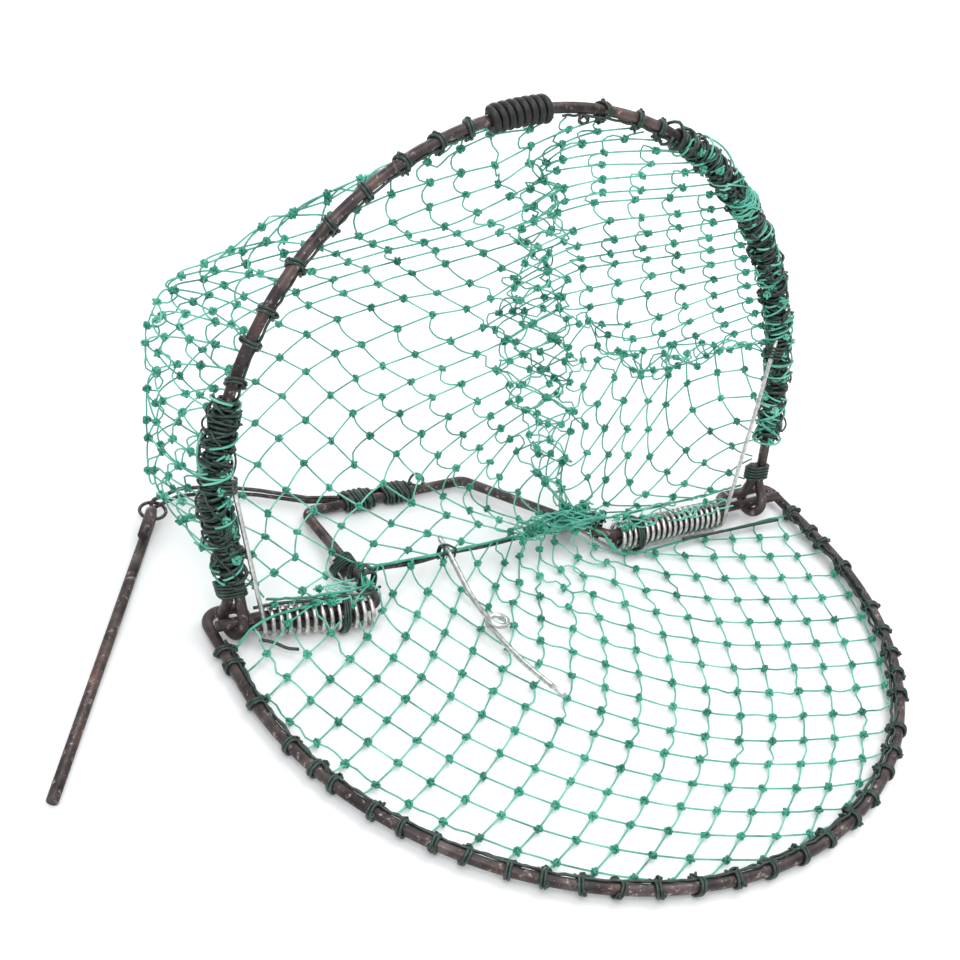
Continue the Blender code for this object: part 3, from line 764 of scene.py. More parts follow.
def lumps(centres, size, cord, turns=None):
    """Small overhand knots, each turned its own way."""
    centres = np.asarray(centres, float)
    t = np.linspace(0, 2 * math.pi, 20, endpoint=False)
    shape = np.stack(
        [(2 + np.cos(3 * t)) * np.cos(2 * t), (2 + np.cos(3 * t)) * np.sin(2 * t), 1.6 * np.sin(3 * t)], 1
    )
    shape *= size / 3
    paths = np.empty((len(centres), len(t), 3))
    for k, centre in enumerate(centres):
        paths[k] = centre + shape @ random_turn()
    return strands(paths, cord / 2, 5, loop=True)


def random_turn():
    q, _ = np.linalg.qr(rng.normal(size=(3, 3)))
    return q if np.linalg.det(q) > 0 else -q


def running_cord(bar, start, end, reach, angle, wobble, step=2.5 * MM):
    """A cord that runs along a bar at one angle round it, in and out of the turns."""
    count = max(3, round(abs(end - start) / step))
    path = []
    for k in range(count + 1):
        spot, _, inward, normal = bar.frame(start + (end - start) * k / count)
        turn = angle + rng.normal(0, 0.16)
        lift = reach + rng.normal(0, wobble)
        path.append(spot + (inward * math.cos(turn) + normal * math.sin(turn)) * lift)
    return softened([path], 3)[0]


def loose_end(start, ways, step=2.2 * MM):
    """A short stiff end of cord that leaves a knot and curls through the given ways."""
    path = [np.array(start, float)]
    for way in ways:
        way = np.array(way, float)
        path.append(path[-1] + way / np.linalg.norm(way) * step)
    return softened([path], 4)[0]



class Finish:
    """A Principled material fed by noise in the object's own coordinates."""

    def __init__(self, name, roughness, metallic=0.0):
        self.material = bpy.data.materials.new(name)
        self.material.use_nodes = True
        self.tree = self.material.node_tree
        self.shader = self.tree.nodes["Principled BSDF"]
        self.shader.inputs["Roughness"].default_value = roughness
        self.shader.inputs["Metallic"].default_value = metallic
        self.place = self.tree.nodes.new("ShaderNodeTexCoord").outputs["Object"]

    def noise(self, scale, detail=3.0, roughness=0.55):
        made = self.tree.nodes.new("ShaderNodeTexNoise")
        made.inputs["Scale"].default_value = scale
        made.inputs["Detail"].default_value = detail
        made.inputs["Roughness"].default_value = roughness
        self.tree.links.new(self.place, made.inputs["Vector"])
        return made.outputs["Fac"]

    def ramp(self, source, stops):
        made = self.tree.nodes.new("ShaderNodeValToRGB")
        elements = made.color_ramp.elements
        while len(elements) < len(stops):
            elements.new(0.5)
        for element, (place, colour) in zip(elements, stops):
            element.position = place
            element.color = (*colour, 1.0)
        self.tree.links.new(source, made.inputs["Fac"])
        return made.outputs["Color"]

    def mix(self, share, first, second):
        made = self.tree.nodes.new("ShaderNodeMix")
        made.data_type = "RGBA"
        self.tree.links.new(share, made.inputs["Factor"])
        self.tree.links.new(first, made.inputs["A"])
        self.tree.links.new(second, made.inputs["B"])
        return made.outputs["Result"]

    def colour(self, source):
        self.tree.links.new(source, self.shader.inputs["Base Color"])

    def roughness(self, source, low, high):
        made = self.tree.nodes.new("ShaderNodeMapRange")
        made.inputs["To Min"].default_value = low
        made.inputs["To Max"].default_value = high
        self.tree.links.new(source, made.inputs["Value"])
        self.tree.links.new(made.outputs["Result"], self.shader.inputs["Roughness"])

    def bump(self, source, strength, distance):
        made = self.tree.nodes.new("ShaderNodeBump")
        made.inputs["Strength"].default_value = strength
        made.inputs["Distance"].default_value = distance
        self.tree.links.new(source, made.inputs["Height"])
        self.tree.links.new(made.outputs["Normal"], self.shader.inputs["Normal"])


def rusted_steel():
    made = Finish("rusted_steel", 0.45, 0.55)
    body = made.ramp(
        made.noise(110, 4), [(0.32, (0.022, 0.017, 0.017)), (0.5, (0.060, 0.045, 0.044)), (0.7, (0.13, 0.10, 0.098))]
    )
    rust = made.ramp(made.noise(900, 3), [(0.35, (0.085, 0.034, 0.018)), (0.7, (0.20, 0.09, 0.045))])
    patches = made.ramp(made.noise(55, 5, 0.62), [(0.55, (0, 0, 0)), (0.70, (0.6, 0.6, 0.6))])
    # Bright pinkish specks over the rod's colour are painted highlights.
    glint_specks = made.ramp(made.noise(420, 4, 0.7), [(0.57, (0, 0, 0)), (0.70, (1, 1, 1))])
    glint_colour = made.ramp(made.noise(1600, 2), [(0.4, (0.30, 0.235, 0.215)), (0.6, (0.52, 0.43, 0.40))])
    made.colour(made.mix(glint_specks, made.mix(patches, body, rust), glint_colour))
    made.roughness(made.noise(500, 3), 0.26, 0.62)
    made.bump(made.noise(1300, 4, 0.6), 0.55, 0.12 * MM)
    return made.material


def bright_wire():
    made = Finish("bright_wire", 0.3, 1.0)
    clean = made.ramp(made.noise(500, 3), [(0.35, (0.46, 0.44, 0.42)), (0.65, (0.80, 0.79, 0.77))])
    stain = made.ramp(made.noise(2200, 2), [(0.4, (0.16, 0.12, 0.09)), (0.6, (0.30, 0.25, 0.20))])
    specks = made.ramp(made.noise(700, 4, 0.7), [(0.62, (0, 0, 0)), (0.72, (0.8, 0.8, 0.8))])
    made.colour(made.mix(specks, clean, stain))
    made.roughness(made.noise(900, 3), 0.2, 0.42)
    made.bump(made.noise(2600, 2), 0.2, 0.04 * MM)
    return made.material


def dark_wire():
    made = Finish("dark_wire", 0.42, 0.7)
    made.colour(
        made.ramp(made.noise(600, 4), [(0.35, (0.030, 0.030, 0.028)), (0.6, (0.085, 0.078, 0.07)), (0.75, (0.2, 0.19, 0.17))])
    )
    made.roughness(made.noise(900, 3), 0.3, 0.55)
    made.bump(made.noise(2000, 3), 0.3, 0.05 * MM)
    return made.material


def dark_cord():
    made = Finish("dark_cord", 0.34)
    made.shader.inputs["Specular IOR Level"].default_value = 0.62
    made.colour(
        made.ramp(made.noise(420, 4), [(0.3, (0.004, 0.011, 0.008)), (0.55, (0.012, 0.034, 0.025)), (0.78, (0.035, 0.11, 0.08))])
    )
    made.roughness(made.noise(1500, 2), 0.24, 0.5)
    made.bump(made.noise(3200, 2), 0.5, 0.12 * MM)
    return made.material


def black_sleeve():
    made = Finish("black_sleeve", 0.5)
    made.colour(made.ramp(made.noise(700, 4), [(0.35, (0.004, 0.004, 0.0045)), (0.7, (0.013, 0.013, 0.0145))]))
    made.roughness(made.noise(1100, 3), 0.38, 0.62)
    made.bump(made.noise(2400, 3), 0.35, 0.08 * MM)
    return made.material


def net_twine(name, dark, middle, light):
    made = Finish(name, 0.4)
    made.shader.inputs["Subsurface Weight"].default_value = 0.12
    made.shader.inputs["Subsurface Scale"].default_value = 0.6 * MM
    made.colour(made.ramp(made.noise(90, 4), [(0.3, dark), (0.5, middle), (0.72, light)]))
    made.roughness(made.noise(1500, 2), 0.28, 0.55)
    made.bump(made.noise(3600, 2), 0.5, 0.1 * MM)
    return made.material


def outline_table(points):
    """A closed outline's points, with the share of its length at which each one lies."""
    points = np.asarray(points, float)
    steps = np.linalg.norm(np.roll(points, -1, 0) - points, axis=1)
    return points, np.concatenate([[0], np.cumsum(steps)]) / steps.sum()


def point_on(table, share):
    points, shares = table
    looped = np.vstack([points, points[:1]])
    return np.stack([np.interp(share, shares, looped[:, k]) for k in range(points.shape[1])], -1)


def is_inside(points, outline):
    """Whether each point lies inside a closed outline, by counting its crossings."""
    inside = np.zeros(len(points), bool)
    for a, b in zip(outline, np.roll(outline, -1, 0)):
        spans = (a[1] > points[:, 1]) != (b[1] > points[:, 1])
        rise = b[1] - a[1] if b[1] != a[1] else TINY
        inside ^= spans & (points[:, 0] < (b[0] - a[0]) * (points[:, 1] - a[1]) / rise + a[0])
    return inside


def cut_share(inner, outer, table):
    """Where the bar from inner to outer crosses the outline: its share of the bar, and of the outline."""
    points, shares = table
    here, there = points, np.roll(points, -1, 0)
    edge, bar = there - here, outer - inner
    cross = bar[0] * edge[:, 1] - bar[1] * edge[:, 0]
    cross = np.where(np.abs(cross) < TINY, TINY, cross)
    gap = here - inner
    along = (gap[:, 0] * edge[:, 1] - gap[:, 1] * edge[:, 0]) / cross
    across = (gap[:, 0] * bar[1] - gap[:, 1] * bar[0]) / cross
    hits = (along >= 0) & (along <= 1) & (across >= 0) & (across <= 1)
    best = np.argmin(np.where(hits, along, 2.0))
    return along[best], shares[best] + across[best] * (shares[best + 1] - shares[best])


def lattice(outline, angle, mesh):
    """Square netting cut to an outline: knots, bars as pairs of knots, their lengths and ways, and edge ends."""
    table = outline_table(outline)
    low, high = table[0].min(0), table[0].max(0)
    middle = (low + high) / 2
    reach = int(np.linalg.norm(high - low) / mesh / 2) + 2
    turn = np.array([[math.cos(angle), math.sin(angle)], [-math.sin(angle), math.cos(angle)]])
    rows, columns = np.mgrid[-reach : reach + 1, -reach : reach + 1]
    cells = np.stack([rows.ravel(), columns.ravel()], 1)
    spots = middle + (cells + LATTICE_SHIFT) * mesh @ turn
    inside = is_inside(spots, table[0])
    number = {tuple(c): i for i, c in enumerate(cells)}
    keep = {i: n for n, i in enumerate(np.flatnonzero(inside))}
    knots = [spots[i] for i in np.flatnonzero(inside)]
    bars, lengths, ways, ends = [], [], [], []
    for cell, i in number.items():
        for way, step in enumerate(((1, 0), (0, 1))):
            j = number.get((cell[0] + step[0], cell[1] + step[1]))
            if j is None or not (inside[i] or inside[j]):
                continue
            if inside[i] and inside[j]:
                bars.append((keep[i], keep[j]))
                lengths.append(mesh)
            else:
                own, other = (i, j) if inside[i] else (j, i)
                along, share = cut_share(spots[own], spots[other], table)
                ends.append((len(knots), share))
                pair = (keep[own], len(knots))
                bars.append(pair if own == i else pair[::-1])
                lengths.append(max(along * mesh, SHORTEST_BAR))
                knots.append(spots[own] + (spots[other] - spots[own]) * along)
            ways.append(way)
    return np.array(knots), np.array(bars), np.array(lengths), np.array(ways), ends


def settle(knots, pinned, bars, lengths, ways, pull, steps, confine, drift=None, hold=None):
    """Lets a net hang: bars can't stretch but can buckle, pinned knots stay. Returns knots and bars' points."""
    count = len(knots)
    shares = np.arange(1, BAR_PARTS) / BAR_PARTS
    run = knots[bars[:, 1]] - knots[bars[:, 0]]
    inner = knots[bars[:, 0]][:, None] + run[:, None] * shares[:, None]
    inner += rng.normal(0, BAR_WOBBLE, inner.shape)
    at = np.concatenate([knots, inner.reshape(-1, 3)])
    weight = np.full(len(at), LIGHT_POINT)
    weight[:count] = 1.0
    weight[pinned] = 0.0
    chain = np.column_stack(
        [bars[:, 0], count + np.arange(inner.shape[0] * (BAR_PARTS - 1)).reshape(-1, BAR_PARTS - 1), bars[:, 1]]
    )
    groups = []
    for way in (0, 1):
        own = ways == way
        part = lengths[own] / BAR_PARTS
        for k in range(BAR_PARTS):
            groups.append((chain[own, k], chain[own, k + 1], part, False))
        for k in range(BAR_PARTS - 1):
            groups.append((chain[own, k], chain[own, k + 2], part * 2 * STIFFNESS, True))
    held, before = at[pinned].copy(), at.copy()
    first = at.copy()
    firm = np.zeros(len(at))
    if hold is not None:
        firm[:count] = hold
        firm[chain[:, 1:-1]] = np.minimum(hold[bars[:, 0]], hold[bars[:, 1]])[:, None]
    for step in range(steps):
        moved = (at - before) * DAMPING
        before = at.copy()
        ease = min(1.0, 0.2 + step / EASE_STEPS)
        at = at + moved + pull * ease
        if drift is not None:
            at = at + drift(at) * ease
        back = first - at
        at = at + firm[:, None] * (back - np.outer(back @ BACK, BACK))
        for _ in range(SWEEPS):
            for a, b, rest, push in groups:
                way = at[b] - at[a]
                span = np.sqrt((way * way).sum(1)) + TINY
                gap = span - rest
                if push:
                    gap = np.minimum(gap, 0)
                share = (gap / span / np.maximum(weight[a] + weight[b], TINY))[:, None] * way
                at[a] += share * weight[a][:, None]
                at[b] -= share * weight[b][:, None]
            confine(at)
            at[pinned] = held
    return at[:count], at[chain]


def as_world(points):
    return [hoop_to_world(point) for point in points]


BASE_BAR = Bar(base_hoop_path(), (0, -BASE_SIDE, BASE_Z), (0, 0, 1))
HOOP_BAR = Bar(as_world(moving_hoop_path()), AXLE + AWAY * HOOP_SIDE, -BACK)


def base_at(degrees):
    angle = math.radians(degrees)
    return BASE_BAR.nearest(
        (BASE_RADIUS * math.cos(angle), -BASE_SIDE - BASE_RADIUS * math.sin(angle), BASE_Z)
    )


def hoop_at(degrees):
    return HOOP_BAR.nearest(hoop_to_world(hoop_point(math.radians(degrees))))


def side_at(sign, distance):
    return HOOP_BAR.nearest(hoop_to_world(hoop_side(sign, distance)))


def build_rods(steel, bright, dark, rubber):
    piece("base_hoop_bar", [tube(base_hoop_path(), ROD, 20)], [steel], "base", ["base_hoop"])
    piece("trigger_frame_bar", [tube(trigger_frame_path(), ROD, 20)], [steel], "base", ["trigger_frame"])
    piece("moving_hoop_bar", [tube(as_world(moving_hoop_path()), ROD, 20)], [steel], "hoop", ["moving_hoop"])
    piece("lever_bar", [tube(lever_path(), ROD, 20)], [steel], "lever", ["lever_rod"])
    ring = tube(ring_path(ring_centre(), RING_RADIUS), RING_WIRE, 12, loop=True)
    piece("joining_ring", [ring], [dark], "link", ["link_ring"])
    piece("tether_pair", [tube(tether_path(), TETHER_WIRE, 12)], [dark], "base", ["tether_wire"])
    count = 40
    cross = [
        (
            CROSS_ENDS[0] + (CROSS_ENDS[1] - CROSS_ENDS[0]) * k / count,
            CROSS_Y + 0.35 * MM * math.sin(k * 0.55),
            CROSS_Z + 0.25 * MM * math.sin(k * 0.37 + 1),
        )
        for k in range(count + 1)
    ]
    piece("cross_wire_bar", [tube(cross, CROSS_WIRE, 12)], [dark], "base", ["cross_wire"])
    piece("needle", [tube(needle_path(), NEEDLE_WIRE, 14)], [bright], "needle", ["trigger_needle"])
    for name, coil, leg_top, inner_end in (
        ("left", LEFT_COIL, LEFT_LEG_TOP, Vector((LEFT_COIL[1].x - 0.4 * MM, 24 * MM, 3.3 * MM))),
        ("right", RIGHT_COIL, RIGHT_LEG_TOP, Vector((24.5, 24.0, 3.3)) * MM),
    ):
        path = spring_path(coil, leg_top, inner_end)
        leg = [path[0].lerp(path[1], k / 12) for k in range(12)]
        made = piece(f"spring_{name}", [tube(leg + path[1:], SPRING_WIRE, 12)], [bright], None, [f"{name}_spring"])
        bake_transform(made)
    reach = ROD / 2 + GAP + SLEEVE_CORD / 2
    sleeve = hoop_spiral(SLEEVE_FROM, SLEEVE_TO, reach, SLEEVE_TURNS + 0.6, 30)
    piece("sleeve_coil", [tube(as_world(sleeve), SLEEVE_CORD, 14)], [rubber], "hoop", ["grip_sleeve"])


def build_base_cords(cord):
    parts, centres, outers = [], [], []
    spots = [base_at(degrees) for degrees in BASE_HITCHES]
    spots += [BASE_BAR.nearest((side * BASE_RADIUS, y * MM, BASE_Z)) for side, y in BASE_SIDE_HITCHES]
    spots.sort()
    for distance in spots:
        slant = rng.choice((-1, 1)) * rng.uniform(0.3, 1.0) * MM
        parts.append(tube(softened([vector_array(hitch(BASE_BAR, distance, HITCH_CORD, slant))], 2)[0], HITCH_CORD, 8))
        spot, _, inward, normal = BASE_BAR.frame(distance + rng.uniform(-1, 1) * MM)
        centres.append(spot + inward * (ROD / 2 + 1.3 * MM) + normal * rng.uniform(-0.6, 1.1) * MM)
        if rng.random() < 0.4:
            outers.append(spot - inward * (ROD / 2 + 0.7 * MM) + normal * rng.uniform(-0.2, 1.4) * MM)
    parts += [lumps(centres, 1.5 * MM, 1.0 * MM), lumps(outers, 0.9 * MM, 0.85 * MM)]
    start, end = spots[0] - 3 * MM, spots[-1] + 3 * MM
    parts.append(tube(running_cord(BASE_BAR, start, end, ROD / 2 + 0.55 * MM, 0.75, 0.1 * MM), 0.95 * MM, 7))
    piece("base_lacing_cord", parts, [cord] * len(parts), "base", ["base_lacing"])
    run = running_cord(BASE_BAR, start, end, ROD / 2 + 1.15 * MM, 0.05, 0.22 * MM)
    strays = [tube(softened([np.array(stray) * MM], 4)[0], HITCH_CORD, 8) for stray in STRAY_CORDS]
    piece("edge_cord_run", [tube(run, 1.05 * MM, 7)] + strays, [cord] * (1 + len(strays)), "base", ["edge_cord"])


def build_hoop_cords(cord, twine):
    """Hitches where the hoop shows between them, and close windings on its shoulders and sides."""
    parts, centres, outers = [], [], []
    for degrees in HOOP_HITCHES:
        distance = hoop_at(degrees)
        slant = rng.choice((-1, 1)) * rng.uniform(0.4, 1.2) * MM
        parts.append(tube(softened([vector_array(hitch(HOOP_BAR, distance, HITCH_CORD, slant))], 2)[0], HITCH_CORD, 8))
        spot, _, inward, normal = HOOP_BAR.frame(distance)
        centres.append(spot + inward * (ROD / 2 + 1.3 * MM) + normal * rng.uniform(-0.8, 0.8) * MM)
        if rng.random() < 0.4:
            outers.append(spot - inward * (ROD / 2 + 0.7 * MM) + normal * rng.uniform(-0.8, 0.8) * MM)
    parts += [lumps(centres, 1.5 * MM, 1.0 * MM), lumps(outers, 0.9 * MM, 0.85 * MM)]
    sleeve_left, sleeve_right = hoop_at(105), hoop_at(88.5)
    for start, end, turn in (
        (hoop_at(63), sleeve_right, 0.3),
        (sleeve_left, hoop_at(163), 0.3),
        (sleeve_left, hoop_at(163), -0.5),
        (hoop_at(63), hoop_at(76), -0.6),
    ):
        run = running_cord(HOOP_BAR, start, end, ROD / 2 + 0.6 * MM, turn, 0.12 * MM)
        parts.append(tube(run, 0.95 * MM, 7))
    spot, ahead, inward, normal = HOOP_BAR.frame(hoop_at(84))
    for lift, side in ((0.0, 1), (0.8 * MM, -1)):
        start = spot + inward * (ROD / 2 + 0.8 * MM) + normal * lift
        ways = [inward + ahead * side, inward * 0.6 - ahead * side, -inward * 0.3 - ahead * side, -inward]
        parts.append(tube(loose_end(start, ways, 1.9 * MM), 0.9 * MM, 6))
    piece("hoop_lacing_cord", parts, [cord] * len(parts), "hoop", ["hoop_lacing_left", "hoop_lacing_right"])
    for name, stands_for, start, end, dark, caught in (
        ("right", ["side_wrap_right", "shoulder_wrap_right"], side_at(1, 27 * MM), hoop_at(62), 60, 190),
        ("left", ["side_wrap_left", "shoulder_wrap_left"], hoop_at(163), side_at(-1, 16 * MM), 90, 40),
    ):
        build_winding(name, stands_for, start, end, dark, caught, cord, twine)


def build_winding(name, stands_for, start, end, dark, caught, cord, twine):
    """Uneven layers of cord over a length of bar, with twine and knots of the net caught among them."""
    length = end - start
    parts, finishes = [], []
    for size, pitch, lift, begin, way in WINDING_LAYERS:
        turns = length / pitch * way
        path = round_bar(HOOP_BAR, start, end, turns, ROD / 2 + size / 2 + lift, begin, WINDING_WOBBLE * (1 + lift / MM))
        parts.append(tube(path, size, 7))
        finishes.append(cord)
    parts += [tangle(HOOP_BAR, start, end, dark), tangle(HOOP_BAR, start, end, caught)]
    finishes += [cord, twine]
    for spacing, size, thickness, finish in ((3.1 * MM, 1.7 * MM, 1.2 * MM, cord), (3.7 * MM, 1.45 * MM, 1.0 * MM, twine)):
        centres = []
        for distance in np.arange(start + 2 * MM, end - 2 * MM, spacing):
            spot, ahead, inward, normal = HOOP_BAR.frame(distance + rng.uniform(-1.5, 1.5) * MM)
            turn = rng.uniform(-1.7, 1.7)
            reach = ROD / 2 + rng.uniform(1.6, 3.2) * MM
            centres.append(spot + (inward * math.cos(turn) + normal * math.sin(turn)) * reach)
        parts.append(lumps(centres, size, thickness))
        finishes.append(finish)
    piece(f"winding_{name}", parts, finishes, "hoop", stands_for)


def tie(name, cord, size, paths, body, stands_for, ends=()):
    """A lashing of one or more cords, with its loose ends, standing for its CAD node."""
    parts = [tube(softened([vector_array(path)], 2)[0], size, 8) for path in paths]
    parts += [tube(loose_end(start, ways), size * 0.85, 7) for start, ways in ends]
    piece(name, parts, [cord] * len(parts), body, stands_for)


def coil_tie(name):
    """A few turns of cord round the inner end of a coil, pressed flat where they pass under it."""
    outer, inner = LEFT_COIL if name == "left" else RIGHT_COIL
    middle = inner.lerp(outer, COIL_TIE_SHARES[name])
    axis = (outer - inner).normalized()
    reach = COIL_RADIUS + SPRING_WIRE / 2 + 0.6 * MM
    path = []
    for share in np.linspace(0, 1, 16 * COIL_TIE_TURNS):
        angle = 2 * math.pi * COIL_TIE_TURNS * share
        along = COIL_TIE_WIDTH * (share - 0.5) + rng.normal(0, 0.12 * MM)
        out = reach * math.cos(angle)
        high = max(COIL_Z + reach * math.sin(angle), 0.7 * MM)
        path.append((middle.x + axis.x * along + axis.y * out, middle.y + axis.y * along - axis.x * out, high))
    return path


def build_trigger_ties(cord):
    up = Vector((0, 0, 1))
    for side, name in ((-1, "left"), (1, "right")):
        low = frame_height(CROSS_Y, side)
        centre = Vector((frame_side_x(CROSS_Y, side), CROSS_Y, (low + CROSS_Z) / 2))
        rear = FRAME_REAR_LEFT if side < 0 else FRAME_REAR_RIGHT
        front = FRAME_LEFT if side < 0 else FRAME_RIGHT
        axis = at_height((rear - front).normalized(), 0)
        across = Vector((axis.y, -axis.x, 0))
        half_up = (CROSS_Z - low) / 2 + ROD / 2 + 1.0 * MM
        paths = [
            crossing_path(centre, axis, across, up, ROD / 2 + (0.8 + 0.5 * k) * MM, half_up, 2.4 * MM, (1.1 + k) * MM)
            for k in range(2)
        ]
        knot = centre + up * (half_up + 0.4 * MM)
        ends = [(knot, [(side, -1, 0.4), (side, -0.6, -0.4), (0.3 * side, -1, -0.8)])]
        tie(f"cross_tie_{name}", cord, 1.0 * MM, paths, "base", [f"cross_lashing_{name}"], ends)
        y = 17.5 * MM
        rod = Vector((frame_side_x(y, side), y, frame_height(y, side)))
        coil_end = LEFT_COIL[1] if side < 0 else RIGHT_COIL[1]
        leg_end = Vector((coil_end.x - 0.4 * MM, 24 * MM, 3.3 * MM)) if side < 0 else Vector((24.5, 24.0, 3.3)) * MM
        share = (y - coil_end.y) / (leg_end.y - coil_end.y)
        leg = Vector((coil_end.x + (leg_end.x - coil_end.x) * share, y, (0.9 + 2.4 * share) * MM))
        lean = rod - leg
        lean -= axis * lean.dot(axis)
        lift = lean.normalized()
        middle = leg + lean / 2 + lift * (ROD - SPRING_WIRE) / 4
        half_up = lean.length / 2 + (ROD + SPRING_WIRE) / 4 + 0.85 * MM
        reach = axis * 2.6 * MM
        path = lashing_path(middle - reach, middle + reach, axis.cross(lift), lift, ROD / 2 + 0.8 * MM, half_up, 4.5)
        tie(f"spring_tie_{name}", cord, 0.95 * MM, [path, coil_tie(name)], "base", [f"spring_lashing_{name}"])
    rear = FRAME_REAR_LEFT.lerp(FRAME_REAR_RIGHT, 0.5)
    front_y, back_y = rear.y - ROD / 2, TETHER_Y + TETHER_WIRE / 2
    middle_y = (front_y + back_y) / 2
    half_y = (back_y - front_y) / 2 + 0.75 * MM
    paths = []
    for start, end, turns, more in ((-52, -39, 9, 0.0), (-50, -41, 4, 0.9), (-35, -23, 8, 0.0), (-33, -25, 4, 0.9)):
        paths.append(
            lashing_path(
                Vector((start * MM, middle_y, REAR_BAR_Z)),
                Vector((end * MM, middle_y, REAR_BAR_Z)),
                Vector((0, 1, 0)),
                up,
                half_y + more * MM,
                REAR_BAR_Z - 0.65 * MM,
                turns,
            )
        )
    knot = Vector((-24 * MM, middle_y, REAR_BAR_Z + 3.2 * MM))
    ends = [
        (knot, [(0.6, 0.5, 1), (0.9, 0.3, 0.6), (1, -0.6, 0.1), (0.4, -1, -0.6), (-0.6, -0.8, -0.4)]),
        (knot, [(0.5, -1, 0.4), (1, -0.8, 0), (1, -0.2, -0.7)]),
        (knot + Vector((-26 * MM, 0, 0)), [(-1, 0.4, 0.4), (-1, -0.2, 0.2), (-0.6, -1, -0.3)]),
    ]
    tie("tether_tie", cord, 1.15 * MM, paths, "base", ["tether_lashing"], ends)
    pivot = Vector((NEEDLE_X, CROSS_Y, CROSS_Z))
    stack = (CROSS_WIRE + NEEDLE_WIRE) / 2 + GAP
    half_up = stack / 2 + NEEDLE_WIRE / 2 + 0.7 * MM
    centre = pivot + up * stack / 2
    path = crossing_path(centre, Vector((1, 0, 0)), Vector((0, 1, 0)), up, CROSS_WIRE / 2 + 0.8 * MM, half_up, 1.9 * MM, 1.0 * MM)
    tie("needle_tie", cord, 0.85 * MM, [path], "needle", ["needle_lashing"])


def build_hoop_ties(cord):
    across, front = Vector((1, 0, 0)), Vector((0, 0, 1))
    for sign, top, name in ((-1, LEFT_LEG_TOP, "left"), (1, RIGHT_LEG_TOP, "right")):
        shift = Vector((-EYE_PITCH / 2, 0, 0))
        half = EYE_PITCH / 2 + ROD / 2 + 0.8 * MM
        start, end = hoop_side(sign, 11.0 * MM) + shift, hoop_side(sign, 16.5 * MM) + shift
        path = lashing_path(start, end, across, front, half, ROD / 2 + 0.8 * MM, 4.5)
        tie(f"eye_tie_{name}", cord, 1.05 * MM, [as_world(path)], "hoop", [f"eye_lashing_{name}"])
        angle = math.asin((top.y - 4.5 * MM - HOOP_SIDE) / HOOP_RADIUS)
        spot = hoop_point(math.pi - angle if sign < 0 else angle)
        leg = Vector((top.x, spot.y, LEG_FRONT))
        middle, lean = (spot + leg) / 2, leg - spot
        middle.y, lean.y = spot.y, 0
        up = lean.normalized()
        side = Vector((up.z, 0, -up.x))
        offset = up * (SPRING_WIRE - ROD) / 4
        half_up = lean.length / 2 + (ROD + SPRING_WIRE) / 4 + 1.2 * MM
        reach = Vector((0, 2.6 * MM, 0))
        path = lashing_path(middle + offset - reach, middle + offset + reach, side, up, ROD / 2 + 1.2 * MM, half_up, 4)
        tie(f"leg_tie_{name}", cord, 0.95 * MM, [as_world(path)], "hoop", [f"leg_lashing_{name}"])



def hoop_spot(x, d, back=0.0):
    return AXLE + np.array([x, 0, 0]) + d * AWAY + back * BACK


def bag_seam():
    """The line that the bag is tied to: up the moving hoop, over it, down, and back along the axle."""
    seam = []
    for d in (14, 24, 34):
        seam.append(hoop_spot(hoop_side(1, d * MM).x - SEAM_INSET, d * MM, 2.5 * MM))
    for degrees in range(0, 181, 4):
        inner = hoop_point(math.radians(degrees), -SEAM_INSET)
        seam.append(hoop_spot(inner.x, inner.y, 1.5 * MM))
    for d in (34, 24, 14):
        seam.append(hoop_spot(hoop_side(-1, d * MM).x + SEAM_INSET, d * MM, 2.5 * MM))
    return np.concatenate([seam, np.array(BAG_SEAM_ON_AXLE) * MM])


def gathered(seam, rates):
    """Shares of the flat edge against shares of the seam, where each stretch takes up its own fullness."""
    table = outline_table(seam)
    fine = np.linspace(0, 1, 2001)
    middles = (fine[1:] + fine[:-1]) / 2
    spots = point_on(table, middles)
    marks = [middles[np.argmin(((spots - np.array(mark)) ** 2).sum(1))] for mark, _ in rates]
    rate = np.ones(len(middles))
    for start, end, (_, value) in zip(marks, marks[1:] + [1.0], rates):
        rate[(middles >= start) & (middles < end)] = value
    flat = np.concatenate([[0], np.cumsum(rate)])
    return flat / flat[-1], fine


def bulge(at):
    """Lets the left side of the bag hang deepest."""
    left = 1 / (1 + np.exp((at[:, 0] - BULGE_FROM) / BULGE_EASE))
    return (left * BULGE_PULL)[:, None] * BULGE_WAY


def tucked(place, middle, low, high, width, fullness):
    """Folds a net over itself twice at a line: each knot's place, its layer (-1 to 1), and if it's in the fold."""
    half, taken = width / 2, width * 1.5 / fullness
    gap = place - middle
    across = np.interp(gap / taken, (-1, -1 / 3, 1 / 3, 1), (-1, 1, -1, 1)) * half
    below = low + (place - low) * (middle - half - low) / (middle - taken - low)
    above = high - (high - place) * (high - middle - half) / (high - middle - taken)
    folded = np.where(gap < -taken, below, np.where(gap > taken, above, middle + across))
    return folded, np.clip(gap / taken, -1, 1), np.abs(gap) < taken * 1.1


